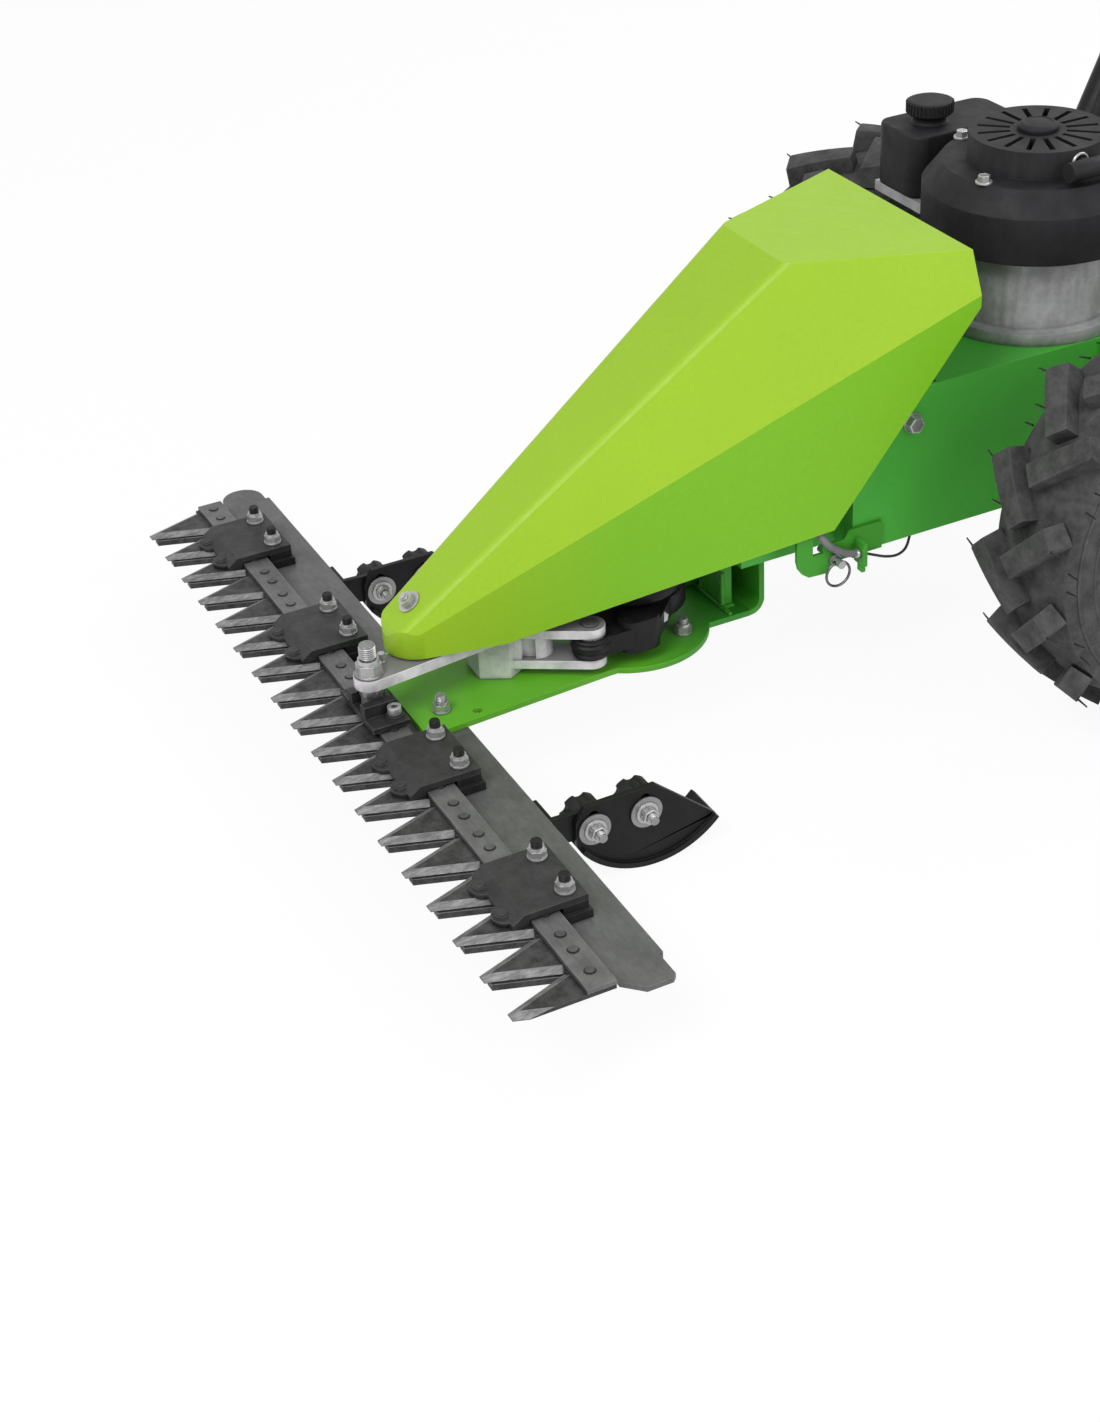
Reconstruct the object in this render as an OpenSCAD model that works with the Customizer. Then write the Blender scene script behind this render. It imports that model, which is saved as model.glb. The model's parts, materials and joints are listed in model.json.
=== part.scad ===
// Walk-behind sickle bar mower: cutter bar, rocker drive, deck, hood, chassis, wheels, engine and handlebar.
// X runs along the bar, Y from the tooth tips to the handles and Z up from the ground.

/* [Cutter bar] */
// Distance from tooth to tooth
pitch = 50.8; // [45:0.1:56]
// Number of fixed lower teeth
tooth_count = 17; // [17:2:17]
// Height of the knife's top face above the ground
knife_h = 88; // [80:1:96]
// Thickness of a knife section
section_t = 4; // [2:0.5:4]
// Gap between neighbouring knife sections
section_gap = 0.8; // [0.5:0.1:2]
// Length of the slanted cutting edge, along Y
edge_len = 58; // [50:1:59]
// Width of a tooth at its cut-off tip
tip_w = 9; // [6:0.5:14]
// Width of the ground bevel on a knife section
bevel_w = 7; // [4:0.5:10]
// Straight land left under the ground bevel
bevel_land = 0.6; // [0.4:0.1:1.5]
// Front edge of the knife back, from the tooth tips
back_y = 61; // [60:0.5:64]
// Width of the knife back
back_w = 25; // [22:0.5:27]
// Thickness of the knife back
back_t = 4; // [3:0.5:6]
// Diameter of a rivet head
rivet_d = 8; // [6:0.5:10]
// Height of a rivet head
rivet_h = 1.2; // [0.6:0.1:2]
// Diameter of a rivet shank
rivet_shank_d = 5; // [4:0.5:6]
// Distance of a rivet from its section's middle
rivet_x = 11; // [8:0.5:14]
// Thickness of the lower comb
comb_t = 6; // [4:0.5:8]
// Set-back of the lower tips behind the knife's tips
comb_y = 4.5; // [4:0.5:10]
// How far the comb stands to the right of the knife at rest
comb_shift = 4; // [0:0.5:8]
// Rear edge of the lower comb
comb_rear = 84; // [80:1:88]
// Sliding gap of the knife above the comb and below the clips
knife_gap = 0.3; // [0.2:0.05:0.5]

/* [Bar plate] */
// Overall length of the bar
bar_len = 940; // [930:1:980]
// Length of the part with the bent rear flange
flange_len = 876; // [860:1:900]
// Thickness of the bar plate
plate_t = 5; // [4:0.5:6]
// Front edge of the bar plate
plate_front = 62; // [58:1:70]
// Rear edge of the bar plate
plate_rear = 141; // [135:1:150]
// Depth of the bent rear flange
flange_h = 24; // [18:1:26]
// Chamfer at the front of an end tab
tab_chamfer = 16; // [10:1:20]

/* [Knife clips] */
// Width of a knife clip
clip_w = 78; // [70:1:84]
// Thickness of a knife clip
clip_t = 6; // [4:0.5:8]
// Front edge of a clip's feet
clip_front = 35; // [33:1:38]
// Rear edge of a clip
clip_rear = 112; // [108:1:116]
// Place of the clip bolts from the tooth tips
clip_bolt_y = 98; // [96:0.5:100]
// Diameter of the clip bolts
bolt_d = 9; // [8:1:10]
// Nut size across the flats
nut_af = 14; // [13:1:16]
// Height of a nut
nut_h = 9; // [7:0.5:10]
// Washer diameter
washer_d = 17; // [16:1:20]
// Washer thickness
washer_t = 2; // [1.5:0.5:3]
// Length of thread that shows above a nut
thread_end = 6; // [4:1:14]

/* [Knife drive] */
// Rocker pivot, from the tooth tips
pivot_y = 205; // [203:1:207]
// Front stud of the rocker, from the tooth tips
stud_y = 70; // [69:0.5:71]
// Diameter of the drive stud
stud_d = 14; // [12:1:16]
// Height of the stud's top above the knife
stud_top = 75; // [72:1:80]
// Diameter of the drive roller
roller_d = 20; // [18:1:22]
// Underside of the rocker arm above the knife
arm_h = 33; // [32:0.5:33]
// Thickness of the rocker arm
arm_t = 11; // [9:0.5:11]
// Radius of the rocker arm's front eye
arm_eye_r = 15; // [14:0.5:17]
// Radius of the rocker arm at its hub
arm_hub_r = 24; // [22:1:26]
// Radius over the corners of the six-sided hub
hub_r = 29; // [27:1:31]
// Diameter of the pivot post
post_d = 20; // [18:1:22]
// Wall of the pivot bush
bush_t = 3; // [2:0.5:4]
// Running clearance of pins and shafts, on the radius
run_fit = 0.05; // [0.02:0.01:0.1]
// Clevis pin, to the left of the pivot
clevis_x = 54; // [52:1:56]
// Clevis pin, behind the pivot
clevis_y = 71; // [69:1:73]
// Radius of a clevis tine's eye
tine_r = 14; // [13:0.5:15]
// Thickness of a clevis tine
tine_t = 9; // [7:0.5:10]
// Underside of the lower tine above the knife
tine_low = 5; // [4:0.5:6]
// Diameter of the clevis pin
clevis_d = 12; // [10:1:14]
// Crank shaft, from the tooth tips
crank_y = 345; // [343:1:347]
// Throw of the crank
crank_throw = 16; // [15:0.5:16.5]
// Outer radius of the rod's big end
strap_r = 46; // [42:1:47]
// Outer radius of the rod bearing
bearing_r = 31; // [28:1:34]
// Inner radius of the rod bearing
bearing_bore_r = 15; // [12:1:18]
// Radius of the crank disc
crank_r = 48; // [44:1:52]
// Diameter of the crank shaft
crank_d = 25; // [20:1:30]

/* [Deck] */
// Thickness of the deck plate
deck_t = 6; // [5:0.5:8]
// Front edge of the deck plate
deck_front = 100; // [100:1:104]
// Half width of the deck at its front edge
deck_front_w = 75.5; // [74:0.5:80]
// Half width of the deck at its waist
deck_waist_w = 63; // [60:0.5:68]
// Radius of the round part of the deck
deck_r = 77; // [74:1:82]
// Half width of the coupling bracket
neck_w = 37; // [35:1:42]
// Thickness of the coupling bracket's walls
neck_t = 6; // [5:0.5:8]
// Front edge of the coupling bracket
neck_y = 432; // [430:1:434]
// Rear of the coupling bracket's upright wall
neck_rear = 470; // [468:1:472]
// Diameter of the accessory holes in the deck
deck_hole_d = 9; // [7:0.5:11]
// Distance between the accessory holes
deck_hole_x = 121; // [115:1:122]

/* [Skids] */
// Place of the skids left and right of the middle
skid_x = 235; // [225:1:245]
// Radius of the runner's sole
skid_r = 88; // [84:1:92]
// Middle of the runner's curve, from the tooth tips
skid_y = 238; // [236:1:240]
// Width of the runner
runner_w = 45; // [40:1:50]
// Thickness of the runner and the skid's web
skid_t = 5; // [4:0.5:6]
// First clamping bolt, from the tooth tips
skid_bolt_y = 181; // [180:1:184]
// Distance between the clamping bolts
skid_bolt_gap = 50; // [48:1:52]
// Height of the clamping bolts
skid_bolt_z = 56; // [54:1:58]
// Height adjustment of a skid
skid_travel = 14; // [10:1:15]
// Diameter of a clamping knob
knob_d = 38; // [34:1:42]

/* [Hood] */
// Sheet thickness of the hood
hood_t = 2; // [1.5:0.25:3]
// Front of the hood, from the tooth tips
hood_front = 97; // [95:1:99]
// Radius of the hood's nose
nose_r = 32; // [30:1:33]
// Half width of the hood at its rear
hood_w = 135; // [133:0.5:138]
// Lower edge of the nose above the knife
nose_low = 45.5; // [45.5:0.5:48]
// Top of the nose at its tip above the knife
nose_top = 68.5; // [67:0.5:72]
// Rise of the hood's top for each millimetre back
hood_slope = 0.73; // [0.72:0.005:0.75]
// Where the hood's flat top starts, from the tooth tips
hood_flat_y = 480; // [470:1:490]
// Rear end of the hood, from the tooth tips
hood_rear = 633; // [630:1:640]

/* [Chassis] */
// Half width of the chassis
chassis_w = 95; // [93:0.5:95]
// Sheet thickness of the chassis
chassis_t = 4; // [3:0.5:5]
// Lower edge of the chassis above the ground
chassis_low = 151; // [148:1:153]
// Top of the chassis above the ground
chassis_top = 303; // [300:1:310]
// Front of the chassis, from the tooth tips
chassis_front = 530; // [528:1:534]
// Rear of the chassis, from the tooth tips
chassis_rear = 890; // [880:1:900]

/* [Wheels] */
// Axle, from the tooth tips
axle_y = 785; // [780:1:790]
// Outer radius of a tyre
tyre_r = 197; // [190:1:200]
// Radius of the tyre without its lugs
carcass_r = 179; // [172:1:184]
// Width of a tyre
tyre_w = 105; // [98:1:110]
// Inner face of a tyre from the middle
tyre_x = 200; // [195:1:205]
// Number of lugs on each side of a tyre
lug_count = 14; // [12:1:16]
// Thickness of a lug
lug_t = 22; // [16:1:26]
// Radius of the rim at the bead seat
rim_r = 102; // [98:1:106]
// Diameter of the axle shaft
axle_d = 25; // [20:1:28]

/* [Handlebar] */
// Overall length of the machine
machine_len = 1480; // [1470:1:1500]
// Height of the grips
grip_h = 870; // [850:1:900]
// Half distance between the grips
grip_x = 235; // [220:1:250]
// Diameter of the handlebar tubes
tube_d = 28; // [25:1:32]
// Outer diameter of a grip
grip_d = 36; // [33:1:40]
// Length of a grip
grip_len = 130; // [120:1:140]

/* [Hidden] */
$fn = 48;
mid_y = machine_len / 2;
seat = 0.3;
z_section = knife_h - section_t;
z_comb_top = z_section - knife_gap;
z_plate = z_comb_top - comb_t;
z_plate_low = z_plate - plate_t;
z_back = knife_h + back_t;
z_clip = z_back + rivet_h + knife_gap;
z_clip_top = z_clip + clip_t;
z_deck = z_plate + deck_t;
rest_x = pitch / 2;
tooth_w = pitch - section_gap;
section_rear = back_y + back_w;
section_x = [for (i = [0 : tooth_count]) (i - (tooth_count - 1) / 2) * pitch];
knife_left = section_x[0] - tooth_w / 2;
knife_right = section_x[tooth_count] + tip_w;
lower_x = [for (i = [0 : tooth_count - 1]) (i - (tooth_count - 1) / 2) * pitch];
clip_x = [for (s = [-1, 1], m = [2.5, 6.5]) s * m * pitch];
bolt_hole_r = bolt_d / 2 + 0.2;
z_arm = knife_h + arm_h;
z_arm_top = z_arm + arm_t;
stud = [rest_x, stud_y];
pivot = [0, pivot_y];
clevis = [clevis_x, pivot_y + clevis_y];
crank = [0, crank_y];
rod_dir = (crank - clevis) / norm(crank - clevis);
big_end = crank + crank_throw * rod_dir;
z_tine = knife_h + tine_low;
z_fork_top = z_arm_top + 2;
z_fork = z_fork_top - tine_t;
fork_shim = 1.5;
z_rod = z_tine + tine_t + fork_shim + seat;
z_rod_top = z_fork - fork_shim - seat;
rod_lug = [clevis_x + 2, pivot_y + 127];
z_crank = z_rod_top + 8;
crank_disc_t = 12;
z_housing = z_crank + crank_disc_t + 8;
housing_h = 76;
housing_r = 34;
z_pulley = z_housing + housing_h + 6;
pulley_t = 20;
knife_pulley_r = 55;
engine_pulley_r = 35;
belt_t = 8;
hood_rise = 0.185;
hood_level_y = 195;
nose = [0, hood_front + nose_r];
hood_z_low = knife_h + nose_low;
hood_z_nose = knife_h + nose_top;
hood_z_flat = hood_z_nose + hood_slope * (hood_flat_y - hood_front);
hood_edge_y = 502;
hood_edge_slope = 1.507;
hood_edge_z = hood_z_low + hood_rise * (hood_edge_y - hood_level_y);
hood_rear_z = hood_edge_z + hood_edge_slope * (hood_rear - hood_edge_y);
band_normal = [6920, -2864, 3120] / norm([6920, -2864, 3120]);
band_y = 140;
band_point = [26.2, band_y, hood_z_nose + hood_slope * (band_y - hood_front)];
hood_bolt_y = 124;
hood_bolt_z = hood_z_nose + hood_slope * (hood_bolt_y - hood_front);
hood_angle = atan(hood_slope);
top_normal = [0, -sin(hood_angle), cos(hood_angle)];
fold_r = 10;
nose_fold_r = 16;
nose_fold = [hood_front + nose_fold_r,
             hood_z_nose + hood_slope * nose_fold_r - nose_fold_r / cos(hood_angle)];
post_top = z_arm_top + 24;
stay_t = 5;
nose_bolt_r = 3;
axle_z = tyre_r;
cowl_z = chassis_top + 84;
hinge_y = 905;
hinge_z = 330;
bracket_x = chassis_w + 15;
bracket_t = 5;
hinge_x = bracket_x + bracket_t + seat;
bend_y = machine_len - grip_len - 90;
lever_y = bend_y + 50;
lever_z = grip_h - 20;

module place() translate([0, -mid_y, 0]) children();

module along_x(p, r, l) translate(p) rotate([0, 90, 0]) cylinder(r = r, h = l);

module along_y(p, r, l) translate(p) rotate([-90, 0, 0]) cylinder(r = r, h = l);

module along_z(p, r, l) translate(p) cylinder(r = r, h = l);

module strut(a, b, r) {
    d = b - a;
    translate(a) rotate([0, acos(d.z / norm(d)), atan2(d.y, d.x)]) cylinder(r = r, h = norm(d));
}

module hexagon(af, h) cylinder(d = af / cos(30), h = h, $fn = 6);

// Two round ends joined by their outer tangents
module link2d(a, ra, b, rb) {
    d = norm(b - a);
    t = atan2(b.y - a.y, b.x - a.x);
    s = acos((ra - rb) / d);
    translate(a) circle(r = ra);
    translate(b) circle(r = rb);
    polygon([a + ra * [cos(t + s), sin(t + s)], a + ra * [cos(t - s), sin(t - s)],
             b + rb * [cos(t - s), sin(t - s)], b + rb * [cos(t + s), sin(t + s)]]);
}

// Flat plate in the YZ plane, from x to x + t
module side_plate(x, t, points) translate([x, 0, 0]) rotate([90, 0, 90]) linear_extrude(t) polygon(points);

// Outline of one pointed tooth, its tip at y = 0
module tooth2d(w, length, rear) {
    polygon([[-w / 2, rear], [-w / 2, length], [-tip_w / 2, 0],
             [tip_w / 2, 0], [w / 2, length], [w / 2, rear]]);
}

// Cuts the ground bevel along the right edge of a section
module edge_grind() {
    run = (tooth_w - tip_w) / 2;
    turn = atan2(edge_len, run);
    tilt = atan((section_t - bevel_land) / bevel_w);
    length = norm([run, edge_len]);
    translate([tip_w / 2, 0, bevel_land]) rotate([0, 0, turn]) rotate([tilt, 0, 0])
        translate([-bevel_w, -bevel_w, 0]) cube([length + bevel_w, 2.5 * bevel_w, 2 * section_t]);
}

module knife_section() {
    difference() {
        linear_extrude(section_t) tooth2d(tooth_w, edge_len, section_rear);
        edge_grind();
        mirror([1, 0, 0]) edge_grind();
    }
}

// Rivets that lie inside the trimmed knife
rivet_places = [for (x = section_x, s = [-1, 1])
                if (x + s * rivet_x < knife_right - rivet_d / 2) x + s * rivet_x];
rivet_y = back_y + back_w / 2;

module knife_sections() {
    color([0.2, 0.2, 0.21]) place() difference() {
        intersection() {
            for (x = section_x) translate([x, 0, z_section]) knife_section();
            translate([knife_left - 1, -1, z_section - 1])
                cube([knife_right - knife_left + 1, section_rear + 2, section_t + 2]);
        }
        for (x = rivet_places)
            along_z([x, rivet_y, z_section - 1], rivet_shank_d / 2 + run_fit, section_t + 2);
    }
}

module knife_back() {
    color([0.28, 0.28, 0.29]) place() difference() {
        translate([knife_left, back_y, knife_h]) cube([knife_right - knife_left, back_w, back_t]);
        for (x = rivet_places)
            along_z([x, rivet_y, knife_h - 1], rivet_shank_d / 2 + run_fit, back_t + 2);
    }
}

module knife_rivets() {
    color([0.33, 0.33, 0.34]) place() for (x = rivet_places) {
        translate([x, rivet_y, 0]) {
            along_z([0, 0, z_section], rivet_shank_d / 2, section_t + back_t);
            along_z([0, 0, z_back], rivet_d / 2, rivet_h);
        }
    }
}

head_w = 76;
head_base_t = 5;
rail_w = 9;
rail_h = 12;
screw_x = 27;
screw_y = 80;
screw_d = 8;

module knife_head() {
    rail_x = roller_d / 2 + seat;
    color([0.16, 0.16, 0.17]) place() translate([rest_x, 0, z_back + rivet_h + seat]) difference() {
        union() {
            translate([-head_w / 2, stud_y - 16, 0]) cube([head_w, section_rear - stud_y + 20, head_base_t]);
            for (s = [-1, 1])
                translate([s * (rail_x + rail_w / 2) - rail_w / 2, stud_y - 16, head_base_t])
                    cube([rail_w, 32, rail_h]);
            for (s = [-1, 1])
                along_z([s * screw_x, screw_y, 0], screw_d, head_base_t + 3);
        }
        for (s = [-1, 1])
            along_z([s * screw_x, screw_y, -1], screw_d / 2 + run_fit, head_base_t + 5);
    }
    color([0.16, 0.16, 0.17]) place() for (s = [-1, 1])
        translate([rest_x + s * (head_w / 2 - 5) - 3, back_y, z_back]) cube([6, 6, rivet_h + seat]);
}

module knife_head_screws() {
    z = z_back + rivet_h + seat + head_base_t + 3;
    color([0.75, 0.75, 0.76]) place() for (s = [-1, 1]) translate([rest_x + s * screw_x, screw_y, 0])
        difference() {
            union() {
                along_z([0, 0, z_back], screw_d / 2, z - z_back);
                along_z([0, 0, z], 0.8 * screw_d, screw_d);
            }
            translate([0, 0, z + screw_d / 2]) hexagon(0.7 * screw_d, screw_d);
        }
}

module lower_comb() {
    half = lower_x[tooth_count - 1] + tooth_w / 2;
    color([0.18, 0.18, 0.19]) place() translate([comb_shift, 0, z_plate]) linear_extrude(comb_t) {
        for (x = lower_x) translate([x, comb_y]) tooth2d(tooth_w, edge_len, edge_len + 2);
        translate([-half, comb_y + edge_len]) square([2 * half, comb_rear - comb_y - edge_len]);
    }
}

deck_bolt_x = 44;
deck_bolt_y = 128;

module bar_plate() {
    tab_front = plate_rear - 47;
    tab_rear = plate_rear - 4;
    tab_r = (tab_rear - tab_front) / 2;
    color([0.42, 0.42, 0.43]) place() difference() {
        union() {
            translate([0, 0, z_plate_low]) linear_extrude(plate_t) {
                translate([-flange_len / 2, plate_front]) square([flange_len, plate_rear - plate_front]);
                polygon([
                    [flange_len / 2 - 1, tab_front], [bar_len / 2 - tab_chamfer, tab_front],
                    [bar_len / 2, tab_front + tab_chamfer], [bar_len / 2, tab_rear - tab_chamfer / 4],
                    [bar_len / 2 - tab_chamfer / 4, tab_rear], [flange_len / 2 - 1, tab_rear]]);
                translate([tab_r - bar_len / 2, tab_front])
                    square([(bar_len - flange_len) / 2 - tab_r + 1, 2 * tab_r]);
                translate([tab_r - bar_len / 2, tab_front + tab_r]) circle(r = tab_r);
            }
            translate([-flange_len / 2, plate_rear - plate_t, z_plate_low - flange_h])
                cube([flange_len, plate_t, flange_h + 1]);
        }
        for (x = clip_x, s = [-1, 1])
            along_z([x + s * pitch / 2, clip_bolt_y, z_plate_low - 1], bolt_hole_r, plate_t + 2);
        for (s = [-1, 1])
            along_z([s * deck_bolt_x, deck_bolt_y, z_plate_low - 1], bolt_hole_r, plate_t + 2);
    }
}

spacer_y = section_rear + 3;
spacer_split = 8;

module clip_spacers() {
    depth = clip_rear - spacer_y;
    color([0.13, 0.13, 0.14]) place() for (x = clip_x) difference() {
        union() {
            translate([x - clip_w / 2 - 3, spacer_y, z_plate]) cube([clip_w + 6, depth + 2, spacer_split]);
            translate([x - clip_w / 2, spacer_y, z_plate + spacer_split])
                cube([clip_w, depth, z_clip - z_plate - spacer_split]);
        }
        for (s = [-1, 1]) along_z([x + s * pitch / 2, clip_bolt_y, z_plate - 1], bolt_hole_r, clip_rear);
    }
}

module clip_plates() {
    foot_w = 24;
    foot_x = 21;
    foot_t = 4;
    lip_y = back_y - 16;
    dome_r = 6;
    z_foot = knife_h + knife_gap;
    color([0.15, 0.15, 0.16]) place() for (x = clip_x) translate([x, 0, 0]) difference() {
        union() {
            translate([-clip_w / 2, back_y - 4, z_clip]) cube([clip_w, clip_rear - back_y + 4, clip_t]);
            side_plate(-clip_w / 2, clip_w, [
                [back_y - 1, z_clip_top], [back_y - 6, z_clip_top], [lip_y, z_foot + foot_t],
                [lip_y, z_foot], [back_y - 1, z_foot]]);
            for (s = [-1, 1]) {
                translate([s * foot_x, clip_front + foot_w / 2, z_foot]) cylinder(d = foot_w, h = foot_t);
                along_z([s * foot_x, clip_front + dome_r + 3, z_foot + foot_t], dome_r, 2);
                along_z([s * foot_x, clip_front + dome_r + 3, z_foot + foot_t + 2], 0.7 * dome_r, 1.2);
            }
        }
        for (s = [-1, 1]) along_z([s * pitch / 2, clip_bolt_y, z_clip - 1], bolt_hole_r, clip_t + 2);
    }
}

bolt_head_h = 6.4;

module clip_bolts() {
    top = z_clip_top + washer_t + nut_h + thread_end;
    color([0.12, 0.12, 0.12]) place() for (x = clip_x, s = [-1, 1])
        translate([x + s * pitch / 2, clip_bolt_y, 0]) {
            translate([0, 0, z_plate_low - bolt_head_h]) hexagon(nut_af, bolt_head_h);
            along_z([0, 0, z_plate_low], bolt_d / 2, top - z_plate_low);
        }
}

// Flat washer with a nut on it, bored for its bolt
module nut_on_washer(d, af, h, wd, wt) difference() {
    union() {
        cylinder(d = wd, h = wt);
        translate([0, 0, wt]) hexagon(af, h * 0.7);
        translate([0, 0, wt + h * 0.7]) cylinder(d = af * 0.92, h = h * 0.3);
    }
    translate([0, 0, -1]) cylinder(d = d + 2 * run_fit, h = h + wt + 2);
}

module clip_nuts() {
    color([0.8, 0.8, 0.82]) place() for (x = clip_x, s = [-1, 1])
        translate([x + s * pitch / 2, clip_bolt_y, z_clip_top])
            nut_on_washer(bolt_d, nut_af, nut_h, washer_d, washer_t);
}

deck_round_y = crank_y - 3;
neck_bend = 16;
rear_bolt = [39, 380];
green = [0.29, 0.6, 0.15];

module deck_plate() {
    waist_y = 290;
    hole_y = 156;
    color(green) place() difference() {
        translate([0, 0, z_plate]) linear_extrude(deck_t) {
            polygon([[-deck_front_w, deck_front], [deck_front_w, deck_front], [deck_waist_w, waist_y],
                     [deck_waist_w, deck_round_y], [-deck_waist_w, deck_round_y], [-deck_waist_w, waist_y]]);
            translate([0, deck_round_y]) circle(r = deck_r, $fn = 96);
            translate([-neck_w, deck_round_y]) square([2 * neck_w, neck_rear - neck_bend - deck_round_y]);
        }
        for (s = [-1, 1]) {
            along_z([s * deck_hole_x / 2, hole_y, z_plate - 1], deck_hole_d / 2, deck_t + 2);
            along_z([s * deck_bolt_x, deck_bolt_y, z_plate - 1], bolt_hole_r, deck_t + 2);
            along_z([s * rear_bolt.x, rear_bolt.y, z_plate - 1], bolt_hole_r, deck_t + 2);
        }
        along_z([0, pivot_y, z_plate - 1], post_d / 2 + run_fit, deck_t + 2);
    }
}

module deck_bolts() {
    color([0.78, 0.78, 0.8]) place() for (s = [-1, 1]) {
        translate([s * deck_bolt_x, deck_bolt_y, 0]) {
            translate([0, 0, z_plate_low - bolt_head_h]) hexagon(nut_af, bolt_head_h);
            along_z([0, 0, z_plate_low], bolt_d / 2, z_deck + washer_t + nut_h + 6 - z_plate_low);
            translate([0, 0, z_deck]) nut_on_washer(bolt_d - 1, nut_af, nut_h, washer_d, washer_t);
        }
        translate([s * rear_bolt.x, rear_bolt.y, 0]) {
            translate([0, 0, z_plate - bolt_head_h]) hexagon(nut_af, bolt_head_h);
            along_z([0, 0, z_plate], bolt_d / 2, z_deck + washer_t + nut_h + 5 - z_plate);
            translate([0, 0, z_deck]) nut_on_washer(bolt_d - 1, nut_af, nut_h, washer_d, washer_t);
        }
    }
}

module coupling_bracket() {
    post_x = 20;
    post_w = 8;
    post_l = 12;
    front_h = 44;
    color(green) place() {
        translate([-neck_w, neck_rear - neck_bend, z_plate + neck_bend]) rotate([90, 0, 90])
            linear_extrude(2 * neck_w) {
                intersection() {
                    difference() {
                        circle(r = neck_bend);
                        circle(r = neck_bend - deck_t);
                    }
                    translate([0, -neck_bend]) square(neck_bend);
                }
                translate([neck_bend - deck_t, 0]) square([deck_t, chassis_low - z_plate - neck_bend]);
            }
        for (s = [0, 1]) mirror([s, 0, 0])
            translate([post_x - post_w, neck_y, z_deck]) cube([post_w, post_l, chassis_low - z_deck]);
        translate([-post_x + 1, neck_y + 2, z_deck]) cube([2 * post_x - 2, neck_t, front_h]);
    }
}

module pivot_post() {
    color([0.6, 0.6, 0.62]) place() difference() {
        union() {
            along_z([0, pivot_y, z_plate - 5], 19, 5);
            along_z([0, pivot_y, z_plate], post_d / 2, post_top + 12 - z_plate);
        }
        along_z([0, pivot_y, post_top + 4], 3, 20);
    }
}

// Bent strap from the pivot post to the hood's nose
module hood_stay() {
    lip = 8;
    bend = 16;
    foot = 22;
    stay_w = 28;
    tip = hood_bolt_y - lip;
    tip_z = hood_bolt_z - lip * hood_slope - hood_t / cos(hood_angle) - run_fit;
    color([0.2, 0.2, 0.2]) place() difference() {
        union() {
            translate([-stay_w / 2, pivot_y - foot, post_top]) cube([stay_w, 2 * foot - 4, stay_t]);
            side_plate(-stay_w / 2, stay_w, [
                [tip, tip_z - stay_t], [tip, tip_z], [hood_bolt_y + bend, tip_z + (bend + lip) * hood_slope],
                [pivot_y - foot, post_top + stay_t], [pivot_y - foot, post_top]]);
        }
        along_z([0, pivot_y, post_top - 1], post_d / 2 + run_fit, stay_t + 2);
        translate([0, hood_bolt_y, hood_bolt_z]) rotate([hood_angle, 0, 0])
            translate([0, 0, -40]) cylinder(r = nose_bolt_r + run_fit, h = 50);
    }
}

module bearing_housing() {
    arm_z = z_housing + housing_h - 12;
    color([0.12, 0.12, 0.13]) place() difference() {
        union() {
            along_z([0, crank_y, z_housing], housing_r, housing_h);
            along_z([0, crank_y, z_housing + housing_h - 12], housing_r + 10, 12);
            translate([-30, crank_y, arm_z]) cube([60, chassis_front - crank_y, 12]);
            for (s = [-1, 1]) translate([s * 26 - 4, crank_y + housing_r - 4, z_housing + 8])
                cube([8, chassis_front - crank_y - housing_r + 4, housing_h - 12]);
        }
        along_z([0, crank_y, z_housing - 1], crank_d / 2 + run_fit, housing_h + 2);
    }
}

fork_hub_r = 22;
z_hub = z_deck + seat;
hub_h = z_arm_top + 6 - z_hub;
alloy = [0.68, 0.68, 0.69];

module rocker_arm() {
    fork = clevis - pivot;
    fork_turn = atan2(fork.y, fork.x);
    web_end = pivot + 0.44 * fork;
    color(alloy) place() difference() {
        union() {
            translate([0, pivot_y, z_hub]) cylinder(r = hub_r, h = hub_h, $fn = 6);
            translate([0, 0, z_arm]) linear_extrude(arm_t) link2d(pivot, arm_hub_r, stud, arm_eye_r);
            translate([0, 0, z_fork]) linear_extrude(tine_t) link2d(pivot, fork_hub_r, clevis, tine_r);
            translate([0, 0, z_tine]) linear_extrude(tine_t) link2d(pivot, fork_hub_r, clevis, tine_r);
            translate([0, 0, z_tine]) linear_extrude(z_fork_top - z_tine)
                link2d(pivot, fork_hub_r, web_end, tine_r);
        }
        translate([0, pivot_y, 0]) rotate([0, 0, fork_turn])
            translate([27, -30, z_tine + tine_t]) cube([13, 20, z_fork - z_tine - tine_t]);
        along_z([0, pivot_y, z_plate], post_d / 2 + bush_t + 2 * run_fit, 100);
        along_z([stud.x, stud.y, z_arm - 1], stud_d / 2 + run_fit, arm_t + 2);
        along_z([clevis.x, clevis.y, z_tine - 1], clevis_d / 2 + run_fit, 60);
    }
}

module pivot_bush() {
    color([0.55, 0.42, 0.2]) place() difference() {
        along_z([0, pivot_y, z_hub], post_d / 2 + bush_t + run_fit, hub_h);
        along_z([0, pivot_y, z_plate], post_d / 2 + run_fit, 100);
    }
}

z_roller = z_back + rivet_h + seat + head_base_t + 1;
roller_h = 12;

module drive_stud() {
    color([0.72, 0.72, 0.74]) place() translate([stud.x, stud.y, 0]) {
        along_z([0, 0, z_roller], stud_d / 2, knife_h + stud_top - z_roller);
        along_z([0, 0, z_roller + roller_h + seat], stud_d / 2 + 4, z_arm - z_roller - roller_h - seat);
    }
}

drive_nut_af = 21;
drive_nut_h = 15;

module drive_nut() {
    color([0.8, 0.8, 0.82]) place() translate([stud.x, stud.y, z_arm_top])
        nut_on_washer(stud_d, drive_nut_af, drive_nut_h, 1.2 * drive_nut_af, 1.5);
}

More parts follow.
